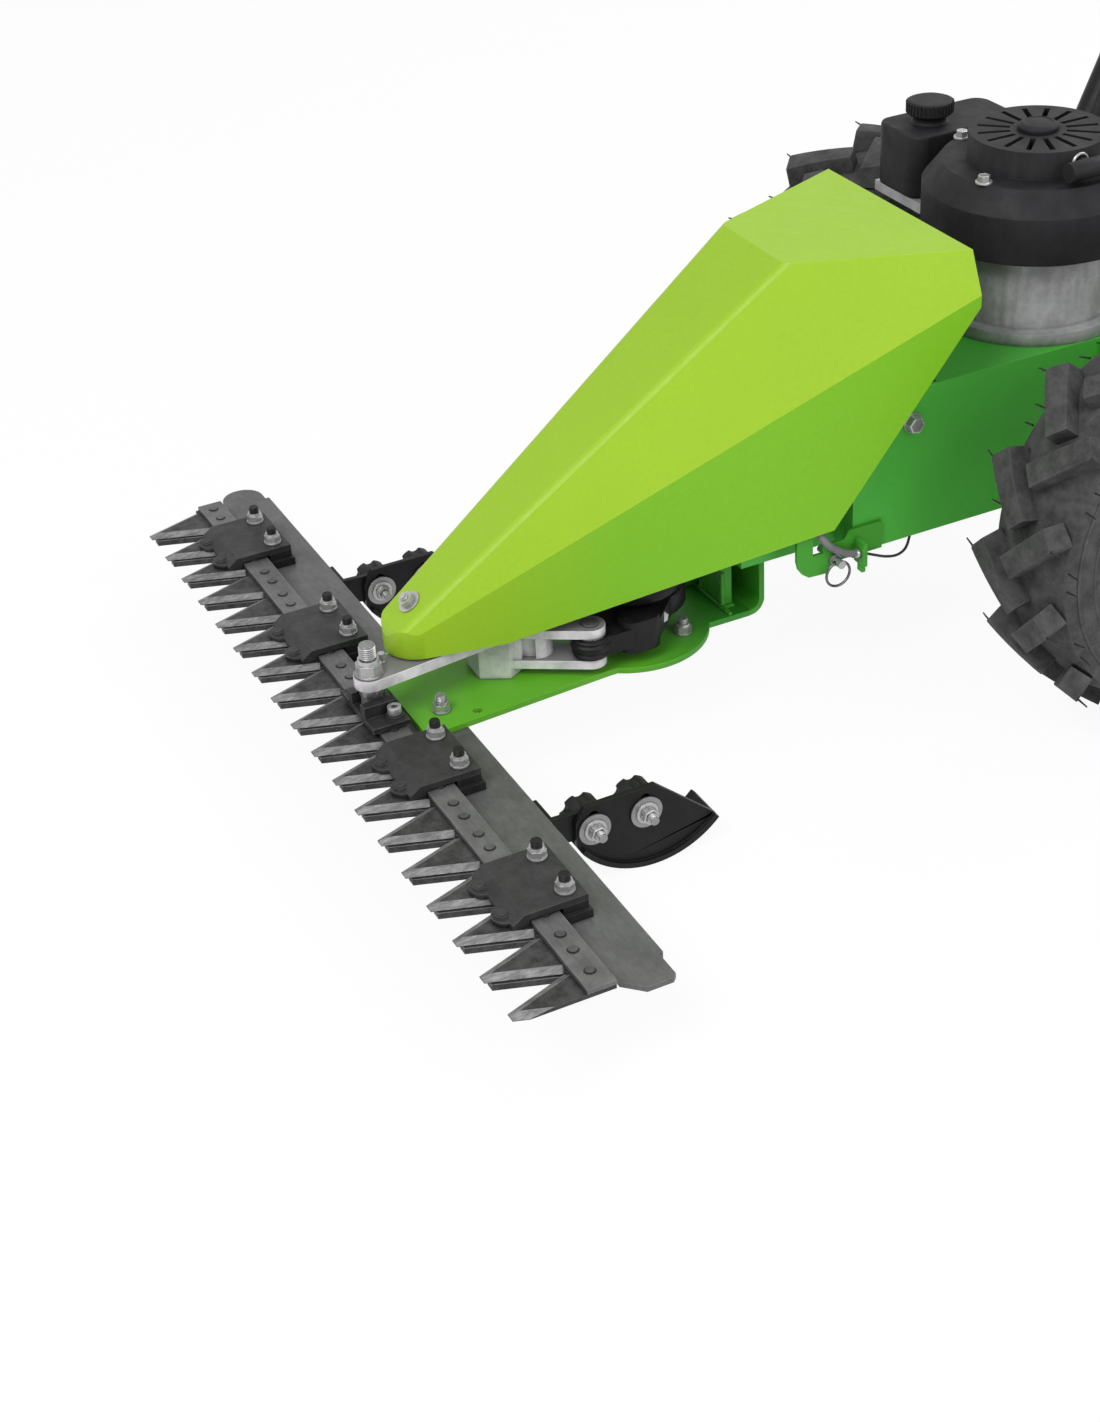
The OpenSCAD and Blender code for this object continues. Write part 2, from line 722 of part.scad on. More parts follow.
module drive_roller() {
    color([0.5, 0.5, 0.52]) place() difference() {
        along_z([stud.x, stud.y, z_roller], roller_d / 2, roller_h);
        along_z([stud.x, stud.y, z_roller - 1], stud_d / 2 + run_fit, roller_h + 2);
    }
}

module clevis_pin() {
    color([0.35, 0.35, 0.36]) place() translate([clevis.x, clevis.y, 0]) {
        along_z([0, 0, z_tine], clevis_d / 2, z_fork_top - z_tine);
        along_z([0, 0, z_fork_top], clevis_d / 2 + 2, 2);
        along_z([0, 0, z_tine - 2], clevis_d / 2 + 2, 2);
    }
}

module fork_washers() {
    color([0.8, 0.8, 0.82]) place() for (z = [z_tine + tine_t, z_fork - fork_shim])
        translate([clevis.x, clevis.y, z]) difference() {
            cylinder(r = tine_r, h = fork_shim);
            translate([0, 0, -1]) cylinder(r = clevis_d / 2 + run_fit, h = fork_shim + 2);
        }
}

module drive_rod() {
    lug_r = 13;
    lug_front = rod_lug - [0, 14];
    color([0.09, 0.09, 0.1]) place() difference() {
        union() {
            translate([0, 0, z_rod]) linear_extrude(z_rod_top - z_rod) {
                link2d(clevis, tine_r + 3, big_end, strap_r);
                link2d(clevis, lug_r, rod_lug, lug_r);
                link2d(rod_lug, lug_r, big_end, strap_r - 6);
            }
            translate([0, 0, z_rod - 7]) linear_extrude(z_rod_top - z_rod + 13)
                link2d(lug_front, lug_r, rod_lug, lug_r);
        }
        along_z([clevis.x, clevis.y, z_rod - 1], clevis_d / 2 + run_fit, 40);
        along_z([big_end.x, big_end.y, z_rod - 1], bearing_r + run_fit, 40);
    }
}

module rod_bearing() {
    color([0.6, 0.6, 0.62]) place() translate([big_end.x, big_end.y, z_rod]) difference() {
        cylinder(r = bearing_r, h = z_rod_top - z_rod);
        translate([0, 0, -1]) cylinder(r = bearing_bore_r, h = 40);
        for (z = [-1, z_rod_top - z_rod - 2]) translate([0, 0, z]) difference() {
            cylinder(r = bearing_r - 4, h = 3);
            cylinder(r = bearing_bore_r + 4, h = 3);
        }
    }
}

module crank_pin() {
    color([0.5, 0.5, 0.52]) place() along_z([big_end.x, big_end.y, z_rod], bearing_bore_r - run_fit,
                                            z_crank - seat - z_rod);
}

module crank_wheel() {
    z_shaft = z_crank + crank_disc_t;
    color([0.4, 0.4, 0.42]) place() {
        along_z([0, crank_y, z_crank], crank_r, crank_disc_t);
        along_z([0, crank_y, z_shaft], crank_d / 2 + 6, z_housing - z_shaft - seat);
        along_z([0, crank_y, z_shaft], crank_d / 2, z_pulley + pulley_t + 4 - z_shaft);
    }
}

belt_w = 10;

// Grooved belt pulley on a shaft of diameter d
module pulley(r, d) {
    bore = d / 2 + run_fit;
    deep = r - belt_t - seat;
    low = (pulley_t - belt_w) / 2 - seat;
    rotate_extrude($fn = 96) polygon([
        [bore, 0], [r, 0], [r, low], [deep, low], [deep, pulley_t - low], [r, pulley_t - low],
        [r, pulley_t], [bore, pulley_t]]);
}

module knife_pulley() {
    color([0.45, 0.45, 0.47]) place() translate([0, crank_y, z_pulley]) pulley(knife_pulley_r, crank_d);
}

module knife_belt() {
    from = [0, crank_y];
    to = [0, axle_y];
    color([0.08, 0.08, 0.08]) place() translate([0, 0, z_pulley + (pulley_t - belt_w) / 2])
        linear_extrude(belt_w) difference() {
            link2d(from, knife_pulley_r, to, engine_pulley_r, $fn = 96);
            link2d(from, knife_pulley_r - belt_t, to, engine_pulley_r - belt_t, $fn = 96);
        }
}

skid_bolt_ys = [for (i = [0, 1]) skid_bolt_y + i * skid_bolt_gap];
skid_places = [skid_x, -skid_x];
skid_bolt_d = 8;
bracket_top = skid_bolt_z + 14;
bracket_low = skid_bolt_z - 13;

module skid_brackets() {
    leaf = 34;
    rear = skid_bolt_ys[1] + 10;
    color([0.14, 0.14, 0.15]) place() for (x = skid_places) difference() {
        union() {
            translate([x - leaf, plate_rear, z_plate_low - flange_h]) cube([leaf, skid_t, flange_h + 2]);
            side_plate(x - skid_t, skid_t, [
                [plate_rear, z_plate_low - flange_h], [skid_bolt_ys[0], bracket_low], [rear, bracket_low],
                [rear + 6, skid_bolt_z], [rear, bracket_top], [plate_rear, z_plate_low + 2]]);
        }
        for (y = skid_bolt_ys) along_x([x - skid_t - 1, y, skid_bolt_z], skid_bolt_d / 2 + 0.2, skid_t + 2);
    }
}

knob_h = 20;

// Lobed knob, its axis along X
module clamp_knob() {
    lobes = 6;
    rotate([0, 90, 0]) translate([0, 0, -skid_t - knob_h]) difference() {
        cylinder(d = knob_d, h = knob_h);
        for (i = [0 : lobes - 1]) rotate(i * 360 / lobes)
            translate([knob_d * 0.56, 0, -1]) cylinder(d = knob_d * 0.3, h = knob_h + 2);
        translate([0, 0, knob_h / 2]) cylinder(r = skid_bolt_d / 2 + run_fit, h = knob_h);
    }
}

module skid_knobs() {
    color([0.1, 0.1, 0.1]) place() for (x = skid_places, y = skid_bolt_ys)
        translate([x, y, skid_bolt_z]) clamp_knob();
}

module skid_bolts() {
    end = 2 * skid_t + 23;
    color([0.75, 0.75, 0.77]) place() for (x = skid_places, y = skid_bolt_ys)
        translate([x, y, skid_bolt_z]) rotate([0, 90, 0]) {
            translate([0, 0, -skid_t - knob_h / 2]) cylinder(d = skid_bolt_d, h = knob_h / 2 + end - skid_t);
            translate([0, 0, skid_t + 2 * seat]) {
                cylinder(d = 3.8 * skid_bolt_d, h = washer_t);
                translate([0, 0, washer_t]) hexagon(1.6 * skid_bolt_d, 0.8 * skid_bolt_d);
            }
        }
}

// Curved runner with an upright web that has a slot for each clamping bolt
module skid(x) {
    sweep = 100;
    web_x = x + seat;
    start = 216;
    top = skid_bolt_z + skid_travel + 11;
    color([0.1, 0.1, 0.11]) place() difference() {
        union() {
            translate([web_x + skid_t + 4 - runner_w, skid_y, skid_r]) rotate([90, 0, 90])
                rotate([0, 0, start]) rotate_extrude(angle = sweep, $fn = 128)
                    translate([skid_r - skid_t, 0]) square([skid_t, runner_w]);
            intersection() {
                along_x([web_x, skid_y, skid_r], skid_r - 1, skid_t);
                side_plate(web_x, skid_t, [
                    [skid_y - 74, 34], [skid_y - 74, skid_bolt_z + 10], [skid_bolt_ys[0] - 8, top],
                    [skid_bolt_ys[1] + 10, top], [skid_y + 62, skid_r - 59],
                    [skid_y + 40, -1], [skid_y - 40, -1]]);
            }
        }
        for (y = skid_bolt_ys) {
            along_x([web_x - 1, y, skid_bolt_z], skid_bolt_d / 2 + seat, skid_t + 2);
            along_x([web_x - 1, y, skid_bolt_z + skid_travel], skid_bolt_d / 2 + seat, skid_t + 2);
            translate([web_x - 1, y - skid_bolt_d / 2 - seat, skid_bolt_z])
                cube([skid_t + 2, skid_bolt_d + 2 * seat, skid_travel]);
        }
        translate([web_x + skid_t + 4 - runner_w - 1, skid_y - 80, skid_bolt_z - 15])
            cube([runner_w - skid_t - 3, 55, 40]);
    }
}

module skid_left() skid(skid_places[0]);

module skid_right() skid(skid_places[1]);

// Takes away all that lies beyond the plane through p with normal n
module cut_above(p, n) translate(p) rotate([0, acos(n.z), atan2(n.y, n.x)])
    translate([-700, -700, 0]) cube([1400, 1400, 400]);

// Solid under the hood's skin, drawn in by inset
module hood_body(inset) {
    corner = [hood_w, hood_rear];
    away = corner - nose;
    turn = atan2(away.y, away.x) - acos(nose_r / norm(away));
    out = [cos(turn), sin(turn)];
    touch = nose + (nose_r - inset) * out;
    drop = inset / cos(hood_angle);
    over = inset > 0 ? 20 : 0;
    far = corner - inset * out + (over + 1) * [-out.y, out.x];
    fold = acos(top_normal * band_normal);
    difference() {
        intersection() {
            linear_extrude(600) {
                translate(nose) circle(r = nose_r - inset);
                polygon([touch, far, [-far.x, far.y], [-touch.x, touch.y], [0, nose.y - nose_r / 2]]);
            }
            side_plate(-2 * hood_w, 4 * hood_w, [
                [hood_front - over, hood_z_low - over],
                [hood_front - over, hood_z_nose - hood_slope * over - drop],
                [hood_flat_y + (drop - inset) / hood_slope, hood_z_flat - inset],
                [hood_rear + over, hood_z_flat - inset], [hood_rear + over, hood_rear_z - over],
                [hood_edge_y + over, hood_edge_z - over], [hood_level_y, hood_z_low - over]]);
        }
        for (s = [0, 1]) mirror([s, 0, 0]) {
            cut_above(band_point - inset * band_normal, band_normal);
            for (k = [1, 2]) {
                n = unit(top_normal * sin(fold * (3 - k) / 3) + band_normal * sin(fold * k / 3));
                tilt = fold * abs(k - 1.5) / 3;
                cut_above(band_point - (fold_r * (cos(tilt) / cos(fold / 2) - 1) + inset) * n, n);
            }
        }
        for (k = [1, 2]) {
            lean = hood_angle + (90 - hood_angle) * k / 3;
            n = [0, -sin(lean), cos(lean)];
            cut_above([0, nose_fold.x, nose_fold.y] + (nose_fold_r - inset) * n, n);
        }
    }
}

module hood() {
    color([0.5, 0.74, 0.2]) place() difference() {
        hood_body(0);
        hood_body(hood_t);
        translate([0, hood_bolt_y, hood_bolt_z]) rotate([hood_angle, 0, 0])
            translate([0, 0, -40]) cylinder(r = nose_bolt_r + run_fit, h = 60);
    }
}

side_bolt = [592, 270];
side_bolt_r = 4;

module hood_bolts() {
    color([0.75, 0.75, 0.76]) place() {
        translate([0, hood_bolt_y, hood_bolt_z]) rotate([hood_angle, 0, 0]) {
            translate([0, 0, -14]) cylinder(r = nose_bolt_r, h = 14);
            cylinder(r = 11, h = 1.6);
            translate([0, 0, 1.6]) hexagon(13, 6);
        }
        for (s = [0, 1]) mirror([s, 0, 0]) translate([chassis_w, side_bolt.x, side_bolt.y])
            rotate([0, 90, 0]) {
                translate([0, 0, -chassis_t - 8]) cylinder(r = side_bolt_r, h = chassis_t + 8);
                cylinder(r = 2 * side_bolt_r, h = 1.6);
                translate([0, 0, 1.6]) hexagon(13, 5.5);
            }
    }
}

dark_green = [0.2, 0.53, 0.2];
axle_tube_r = 25;
tongue_w = 66;

module chassis() {
    lip = 26;
    stay_r = 6;
    tongue_y = neck_y - 4;
    color(dark_green) place() difference() {
        union() {
            for (s = [0, 1]) mirror([s, 0, 0]) {
                side_plate(chassis_w - chassis_t, chassis_t, [
                    [chassis_front, chassis_low], [chassis_rear, chassis_low], [chassis_rear, chassis_top],
                    [chassis_front + 40, chassis_top], [chassis_front, chassis_top - 60]]);
                translate([tongue_w - chassis_t, tongue_y, chassis_low])
                    cube([chassis_t, chassis_front - tongue_y + 1, lip]);
                intersection() {
                    along_x([chassis_w - 15, chassis_front - 5, chassis_top - 67], stay_r, hood_w);
                    hood_body(hood_t + seat);
                }
            }
            translate([-chassis_w, chassis_front + 90, chassis_top - chassis_t])
                cube([2 * chassis_w, chassis_rear - chassis_front - 90, chassis_t]);
            translate([-chassis_w + 1, chassis_front, chassis_low])
                cube([2 * chassis_w - 2, chassis_t, chassis_top - 61 - chassis_low]);
            translate([-tongue_w, tongue_y, chassis_low])
                cube([2 * tongue_w, chassis_front - tongue_y + 1, chassis_t]);
            translate([-chassis_w + 1, chassis_rear - chassis_t, chassis_low])
                cube([2 * chassis_w - 2, chassis_t, chassis_top - chassis_low]);
        }
        translate([-70, chassis_front - 1, z_pulley - 4]) cube([140, chassis_t + 2, pulley_t + 20]);
        along_x([-chassis_w - 1, axle_y, axle_z], axle_tube_r + run_fit, 2 * chassis_w + 2);
        along_z([0, axle_y, chassis_top - chassis_t - 1], 32, chassis_t + 2);
        along_x([-chassis_w - 1, side_bolt.x, side_bolt.y], side_bolt_r + run_fit, 2 * chassis_w + 2);
    }
}

lock_z = chassis_low + 3;
lock_y = 508;
lock_t = 4;
lock_pin_r = 4;
tab_x = chassis_w + lock_t;
tab_y = 530;
cable_r = 3.5;
wire_r = 1.3;
cable_z = chassis_low + 6;

module lock_bracket() {
    low = chassis_low - 10;
    color(green) place() difference() {
        union() {
            side_plate(chassis_w, lock_t, [
                [468, low + 20], [470, low + 12], [474, low + 6], [481, low + 1], [500, low],
                [504, low + 5], [514, low + 10], [560, low + 10], [560, low + 38], [524, low + 38],
                [518, low + 30], [496, low + 30], [496, low + 22], [485, low + 22], [485, low + 46],
                [468, low + 46]]);
            translate([tab_x - 1, tab_y, low + 5]) cube([17, lock_t, 24]);
            translate([tab_x + 5, tab_y, low - 2]) cube([8, lock_t, 8]);
        }
        along_x([chassis_w - 1, lock_y, lock_z], lock_pin_r + run_fit, lock_t + 2);
        along_y([tab_x + 8, tab_y - 1, cable_z], cable_r + 0.7, lock_t + 2);
    }
}

module lock_pin() {
    color([0.7, 0.7, 0.72]) place() difference() {
        union() {
            along_x([chassis_w - 20, lock_y, lock_z], lock_pin_r, lock_t + 34);
            along_x([tab_x + seat, lock_y, lock_z], lock_pin_r + 2, 3);
        }
        along_y([tab_x + 7, lock_y - 10, lock_z], ring_wire + 0.9, 20);
    }
}

ring_r = 12.5;
ring_wire = 1.3;

module lock_ring() {
    color([0.75, 0.75, 0.77]) place() translate([tab_x + 7, lock_y, lock_z - ring_r]) rotate([0, 90, 0])
        rotate_extrude($fn = 64) translate([ring_r, 0]) circle(r = ring_wire, $fn = 24);
}

// Smooth curve through hand-picked points
function spline(p, i, t) =
    let (a = p[max(i - 1, 0)], b = p[i], c = p[i + 1], d = p[min(i + 2, len(p) - 1)])
    0.5 * (2 * b + (c - a) * t + (2 * a - 5 * b + 4 * c - d) * t * t
           + (3 * b - a - 3 * c + d) * t * t * t);
function route(p, n) = [for (i = [0 : len(p) - 2], k = [0 : n - 1]) spline(p, i, k / n), p[len(p) - 1]];
function unit(v) = v / norm(v);

// Tube of 8 sides swept along a curve that never runs straight up
module tube_along(p, r) {
    sides = 8;
    last = len(p) - 1;
    heading = [for (i = [0 : last]) unit(p[min(i + 1, last)] - p[max(i - 1, 0)])];
    ring = [for (i = [0 : last])
        let (u = unit(cross(heading[i], [1, 0, 0])), v = cross(heading[i], u))
        for (k = [0 : sides - 1]) p[i] + r * (cos(k * 360 / sides) * u + sin(k * 360 / sides) * v)];
    polyhedron(ring, concat(
        [[for (k = [sides - 1 : -1 : 0]) k]], [[for (k = [0 : sides - 1]) last * sides + k]],
        [for (i = [0 : last - 1], k = [0 : sides - 1])
            let (a = i * sides, b = a + sides, n = (k + 1) % sides) [a + k, a + n, b + n, b + k]]));
}

sheath_points = [[88, 485, 196], [94, 488.5, 191], [101, 492, 183], [106, 498, 174],
                 [tab_x + 8, 508, 166], [tab_x + 8, 519, 160.3], [tab_x + 8, tab_y + 3, cable_z]];
wire_points = [[tab_x + 8, tab_y + 3.3, cable_z], [105.5, 548, 149.5], [104, 562, 143], [100, 577, 138.5],
               [94, 590, 139], [87, 599, 146.5], [84, 603, 158]];

module lock_cable() {
    color([0.45, 0.45, 0.46]) place() tube_along(route(sheath_points, 4), cable_r);
    color([0.1, 0.1, 0.1]) place() tube_along(route(wire_points, 4), wire_r);
}

box_w = 78;
box_l = 120;
box_low = axle_z - 47;
stub_x = 22;
rim_t = 4;
rim_lip = 9;
rim_in = 10;
box_top = z_pulley - 6;
tube_end = 150;

module gearbox() {
    flange_r = 42;
    flange_t = 12;
    color([0.55, 0.55, 0.56]) place() difference() {
        union() {
            translate([-box_w, axle_y - box_l / 2, box_low]) cube([2 * box_w, box_l, box_top - box_low]);
            along_x([-tube_end, axle_y, axle_z], axle_tube_r, 2 * tube_end);
            for (s = [-1, 1])
                along_x([s * box_w + (s - 1) * flange_t / 2, axle_y, axle_z], flange_r, flange_t);
        }
        for (s = [0, 1]) mirror([s, 0, 0])
            along_x([stub_x - seat, axle_y, axle_z], axle_d / 2 + run_fit, tube_end);
    }
}

// Bead seat, lips, dish and hub of a rim, its axis along Z and its inner side at z = 0
module rim() {
    low = rim_in;
    high = tyre_w - rim_in;
    hub = 30;
    dish_z = 40;
    dish_t = 5;
    holes = 4;
    rotate_extrude($fn = 96) polygon([
        [rim_r - rim_t, low], [rim_r + rim_lip, low], [rim_r + rim_lip, low + rim_t], [rim_r, low + rim_t],
        [rim_r, high - rim_t], [rim_r + rim_lip, high - rim_t], [rim_r + rim_lip, high],
        [rim_r - rim_t, high]]);
    difference() {
        translate([0, 0, dish_z]) cylinder(r = rim_r - rim_t + 1, h = dish_t);
        for (i = [0 : holes - 1]) rotate((i + 0.5) * 360 / holes)
            translate([70, 0, dish_z - 1]) cylinder(r = 12, h = dish_t + 2);
    }
    translate([0, 0, tube_end + seat - tyre_x]) cylinder(r = hub, h = tyre_x - tube_end - seat + 60);
    for (i = [0 : holes - 1]) rotate(i * 360 / holes) translate([44, 0, dish_z + dish_t]) hexagon(17, 8);
    translate([0, 0, stub_x - tyre_x]) cylinder(r = axle_d / 2, h = tyre_x - stub_x + dish_z);
}

function sidewall(r0, r1, z0, bulge, n) =
    [for (i = [0 : n]) [r0 + (r1 - r0) * i / n, z0 + bulge * sin(180 * (i / n) * 0.72)]];

// Tyre with slanted lugs on both shoulders, its axis along Z and centred on z = 0
module tyre() {
    half = tyre_w / 2;
    bead = half - rim_in - rim_t - seat;
    crown = carcass_r - 8;
    wall = sidewall(rim_r + rim_lip + 1, crown, bead, half - bead, 8);
    lug_len = half * 1.32;
    rotate_extrude($fn = 96) polygon(concat(
        [[rim_r + seat, -bead], [rim_r + seat, bead]], wall, [[carcass_r, 18], [carcass_r, -18]],
        [for (i = [len(wall) - 1 : -1 : 0]) [wall[i].x, -wall[i].y]]));
    intersection() {
        cylinder(r = tyre_r, h = tyre_w, center = true, $fn = 96);
        for (s = [0, 1], i = [0 : lug_count - 1]) mirror([0, 0, s])
            rotate(-90 + (i + s / 2) * 360 / lug_count) translate([carcass_r - 10, 0, 0]) rotate([45, 0, 0])
                translate([0, -lug_t / 2, -4]) cube([40, lug_t, lug_len]);
    }
}

module wheel_place(s) place() translate([s * tyre_x, axle_y, axle_z]) rotate([0, s * 90, 0]) children();

module left_rim() color([0.85, 0.85, 0.84]) wheel_place(1) rim();

module right_rim() color([0.85, 0.85, 0.84]) wheel_place(-1) rim();

module left_tyre() color([0.12, 0.12, 0.12]) wheel_place(1) translate([0, 0, tyre_w / 2]) tyre();

module right_tyre() color([0.12, 0.12, 0.12]) wheel_place(-1) translate([0, 0, tyre_w / 2]) tyre();

crankcase_r = 80;
shelf_t = 10;
tank_w = 70;
tank_l = 124;
tank_h = 62;
tank_x = -178;
fin_w = 110;
fin_y = 90;
head_end = 178;
cowl_r = 105;
cowl_h = 66;
starter_r = 64;

module engine_block() {
    fins = 7;
    fin_t = 4;
    fin_gap = 12;
    base_r = 94;
    base_t = 12;
    barrel_w = 84;
    barrel_y = 60;
    deep = cowl_z - chassis_top;
    color([0.6, 0.6, 0.62]) place() translate([0, axle_y, chassis_top]) difference() {
        union() {
            cylinder(r = base_r, h = base_t);
            cylinder(r = crankcase_r, h = deep);
            translate([-barrel_w / 2, barrel_y, base_t + 8])
                cube([barrel_w, head_end - barrel_y - 6, deep - 28]);
            for (i = [0 : fins - 1])
                translate([-fin_w / 2, fin_y + i * fin_gap, base_t]) cube([fin_w, fin_t, deep - 14]);
            translate([tank_x, -tank_l / 2 + 2, deep - shelf_t]) cube([120, tank_l - 4, shelf_t]);
        }
        translate([0, 0, -1]) cylinder(r = crank_d / 2 + run_fit, h = deep - 12);
    }
}

module engine_shaft() {
    color([0.5, 0.5, 0.52]) place() {
        along_z([0, axle_y, box_top + seat], crank_d / 2, chassis_top + 70 - box_top - seat);
        translate([0, axle_y, z_pulley]) pulley(engine_pulley_r, crank_d - 1);
    }
}

module engine_cowl() {
    slots = 16;
    slot_l = 30;
    slot_w = 5;
    taper = 22;
    starter_h = 26;
    duct_w = 124;
    duct_h = 38;
    duct_t = 6;
    color([0.1, 0.1, 0.11]) place() translate([0, axle_y, cowl_z]) difference() {
        union() {
            cylinder(r = cowl_r, h = cowl_h - taper);
            translate([0, 0, cowl_h - taper]) cylinder(r1 = cowl_r, r2 = cowl_r - 17, h = taper);
            translate([-duct_w / 2, 0, 0]) cube([duct_w, head_end, duct_h]);
            translate([0, 0, cowl_h]) cylinder(r = starter_r, h = starter_h);
        }
        for (i = [0 : slots - 1]) rotate(i * 360 / slots)
            translate([starter_r - slot_l - 8, -slot_w / 2, cowl_h + 8]) cube([slot_l, slot_w, starter_h]);
        translate([-duct_w / 2 + duct_t, fin_y - 14, -1])
            cube([duct_w - 2 * duct_t, head_end - fin_y + 10, duct_h - duct_t]);
    }
}

module rounded2d(w, l, r) {
    translate([r, 0]) square([w - 2 * r, l]);
    translate([0, r]) square([w, l - 2 * r]);
    for (x = [r, w - r], y = [r, l - r]) translate([x, y]) circle(r = r);
}

module fuel_tank() {
    neck_r = 16;
    cap_r = 22;
    cap_h = 14;
    filler = [tank_w / 2, 40];
    color([0.13, 0.13, 0.14]) place() translate([tank_x, axle_y - tank_l / 2, cowl_z]) {
        linear_extrude(tank_h) rounded2d(tank_w, tank_l, 16);
        along_z([filler.x, filler.y, tank_h], neck_r, 8);
        along_z([filler.x, filler.y, tank_h + 8], cap_r, cap_h);
    }
}

module muffler() {
    pipe_r = 9;
    depth = 46;
    color([0.35, 0.35, 0.36]) place() {
        translate([fin_w / 2 + seat, axle_y + fin_y - 2, chassis_top + 22]) rotate([90, 0, 90])
            linear_extrude(depth) rounded2d(80, 50, 14);
        along_y([fin_w / 2 + depth / 2, axle_y + fin_y + 76, chassis_top + 46], pipe_r, 30);
    }
}

module air_filter() {
    color([0.1, 0.1, 0.1]) place() translate([-fin_w / 2 - seat, axle_y + fin_y - 2, chassis_top + 20])
        rotate([90, 0, -90]) mirror([1, 0, 0]) linear_extrude(42) rounded2d(80, 54, 10);
}

module starter_grip() {
    z = cowl_z + cowl_h + 14;
    color([0.1, 0.1, 0.1]) place() {
        along_x([starter_r + seat, axle_y, z], 5, 12);
        along_y([starter_r + 18, axle_y - 26, z], 9, 52);
    }
}

module handle_brackets() {
    front = hinge_y - 105;
    rear = hinge_y + 25;
    low = hinge_z - 65;
    block_h = 34;
    color(dark_green) place() for (s = [0, 1]) mirror([s, 0, 0]) difference() {
        union() {
            side_plate(bracket_x, bracket_t, [
                [front, low], [rear, low], [rear, hinge_z + 15], [hinge_y - 20, hinge_z + 22],
                [front, hinge_z - 30]]);
            translate([chassis_w, front, low])
                cube([bracket_x - chassis_w + 1, chassis_rear - front, block_h]);
        }
        along_x([bracket_x - 1, hinge_y, hinge_z], 5 + run_fit, bracket_t + 2);
    }
}

tube_r = tube_d / 2;
block_w = tube_r + 1;
eye = [hinge_x + 18, hinge_y, hinge_z];
bend = [grip_x, bend_y, grip_h];
rise_dir = (bend - eye) / norm(bend - eye);
grip_dir = [0, 1, 0];
bend_r = 70;
bend_lap = 3;
bend_turn = acos(rise_dir * grip_dir);
bend_cut = bend_r * tan(bend_turn / 2);
bend_start = bend - bend_cut * rise_dir;
bend_end = bend + bend_cut * grip_dir;
brace_t = 0.52;
brace = eye + brace_t * (bend - eye);
throttle_x = -grip_x + 28;
throttle_y = bend_y + 75;

// Curved stretch of tube, drawn in a little, between the rising part and the grip
module bent_tube() {
    up = cross(rise_dir, grip_dir) / sin(bend_turn);
    inward = cross(up, rise_dir);
    middle = bend_start + bend_r * inward;
    multmatrix([[-inward.x, rise_dir.x, up.x, middle.x], [-inward.y, rise_dir.y, up.y, middle.y],
                [-inward.z, rise_dir.z, up.z, middle.z], [0, 0, 0, 1]])
        rotate_extrude(angle = bend_turn, $fn = 96) translate([bend_r, 0]) circle(r = tube_r - seat);
}

module handlebar() {
    color([0.12, 0.12, 0.12]) place() difference() {
        union() {
            for (s = [0, 1]) mirror([s, 0, 0]) {
                along_x([hinge_x, hinge_y, hinge_z], 22, 18 + tube_r / 2);
                along_x([hinge_x - bracket_t - 8, hinge_y, hinge_z], 5, bracket_t + 10);
                strut(eye, bend_start + bend_lap * rise_dir, tube_r);
                bent_tube();
                along_y(bend_end - bend_lap * grip_dir, tube_r, machine_len - bend_end.y + bend_lap - 4);
                translate([grip_x - block_w, lever_y - 12, lever_z - 10]) cube([2 * block_w, 24, 24]);
            }
            along_x([-brace.x, brace.y, brace.z], 11, 2 * brace.x);
            along_y([-grip_x, throttle_y - 12, grip_h], tube_r + 4, 24);
            along_x([-grip_x, throttle_y, grip_h], 11, 28);
            along_x([-grip_x, throttle_y, grip_h], 4, 36);
        }
        for (s = [-1, 1]) along_x([s * grip_x - 20, lever_y, lever_z - 2], 4 + run_fit, 40);
    }
}

module grips() {
    color([0.07, 0.07, 0.07]) place() for (s = [-1, 1]) difference() {
        along_y([s * grip_x, machine_len - grip_len, grip_h], grip_d / 2, grip_len);
        along_y([s * grip_x, machine_len - grip_len - 1, grip_h], tube_r + run_fit, grip_len - 3 + seat);
    }
}

// Squeeze lever under a grip, hung on a pin through its clamp
module squeeze_lever(x) place() {
    cheek = 4;
    side = block_w + seat;
    along_x([x - side - cheek, lever_y, lever_z - 2], 4, 2 * (side + cheek));
    for (s = [-1, 1]) side_plate(x + s * (side + cheek / 2) - cheek / 2, cheek, [
        [lever_y - 10, lever_z + 6], [lever_y + 16, lever_z + 4], [lever_y + 34, lever_z - 10],
        [lever_y + 30, lever_z - 20], [lever_y - 10, lever_z - 12]]);
    side_plate(x - side - cheek, 2 * (side + cheek), [
        [lever_y + 20, lever_z - 10], [lever_y + 32, lever_z - 12], [lever_y + 140, lever_z - 46],
        [lever_y + 138, lever_z - 52], [lever_y + 30, lever_z - 20]]);
}

module knife_lever() color([0.7, 0.1, 0.08]) squeeze_lever(-grip_x);

module drive_lever() color([0.1, 0.1, 0.1]) squeeze_lever(grip_x);

module throttle_lever() {
    color([0.1, 0.1, 0.1]) place() difference() {
        union() {
            along_x([throttle_x + seat, throttle_y, grip_h], 12, 5);
            translate([throttle_x + seat, throttle_y - 5, grip_h]) cube([5, 10, 44]);
            along_x([throttle_x + seat, throttle_y, grip_h + 44], 8, 5);
        }
        along_x([throttle_x - 1, throttle_y, grip_h], 4 + run_fit, 20);
    }
}

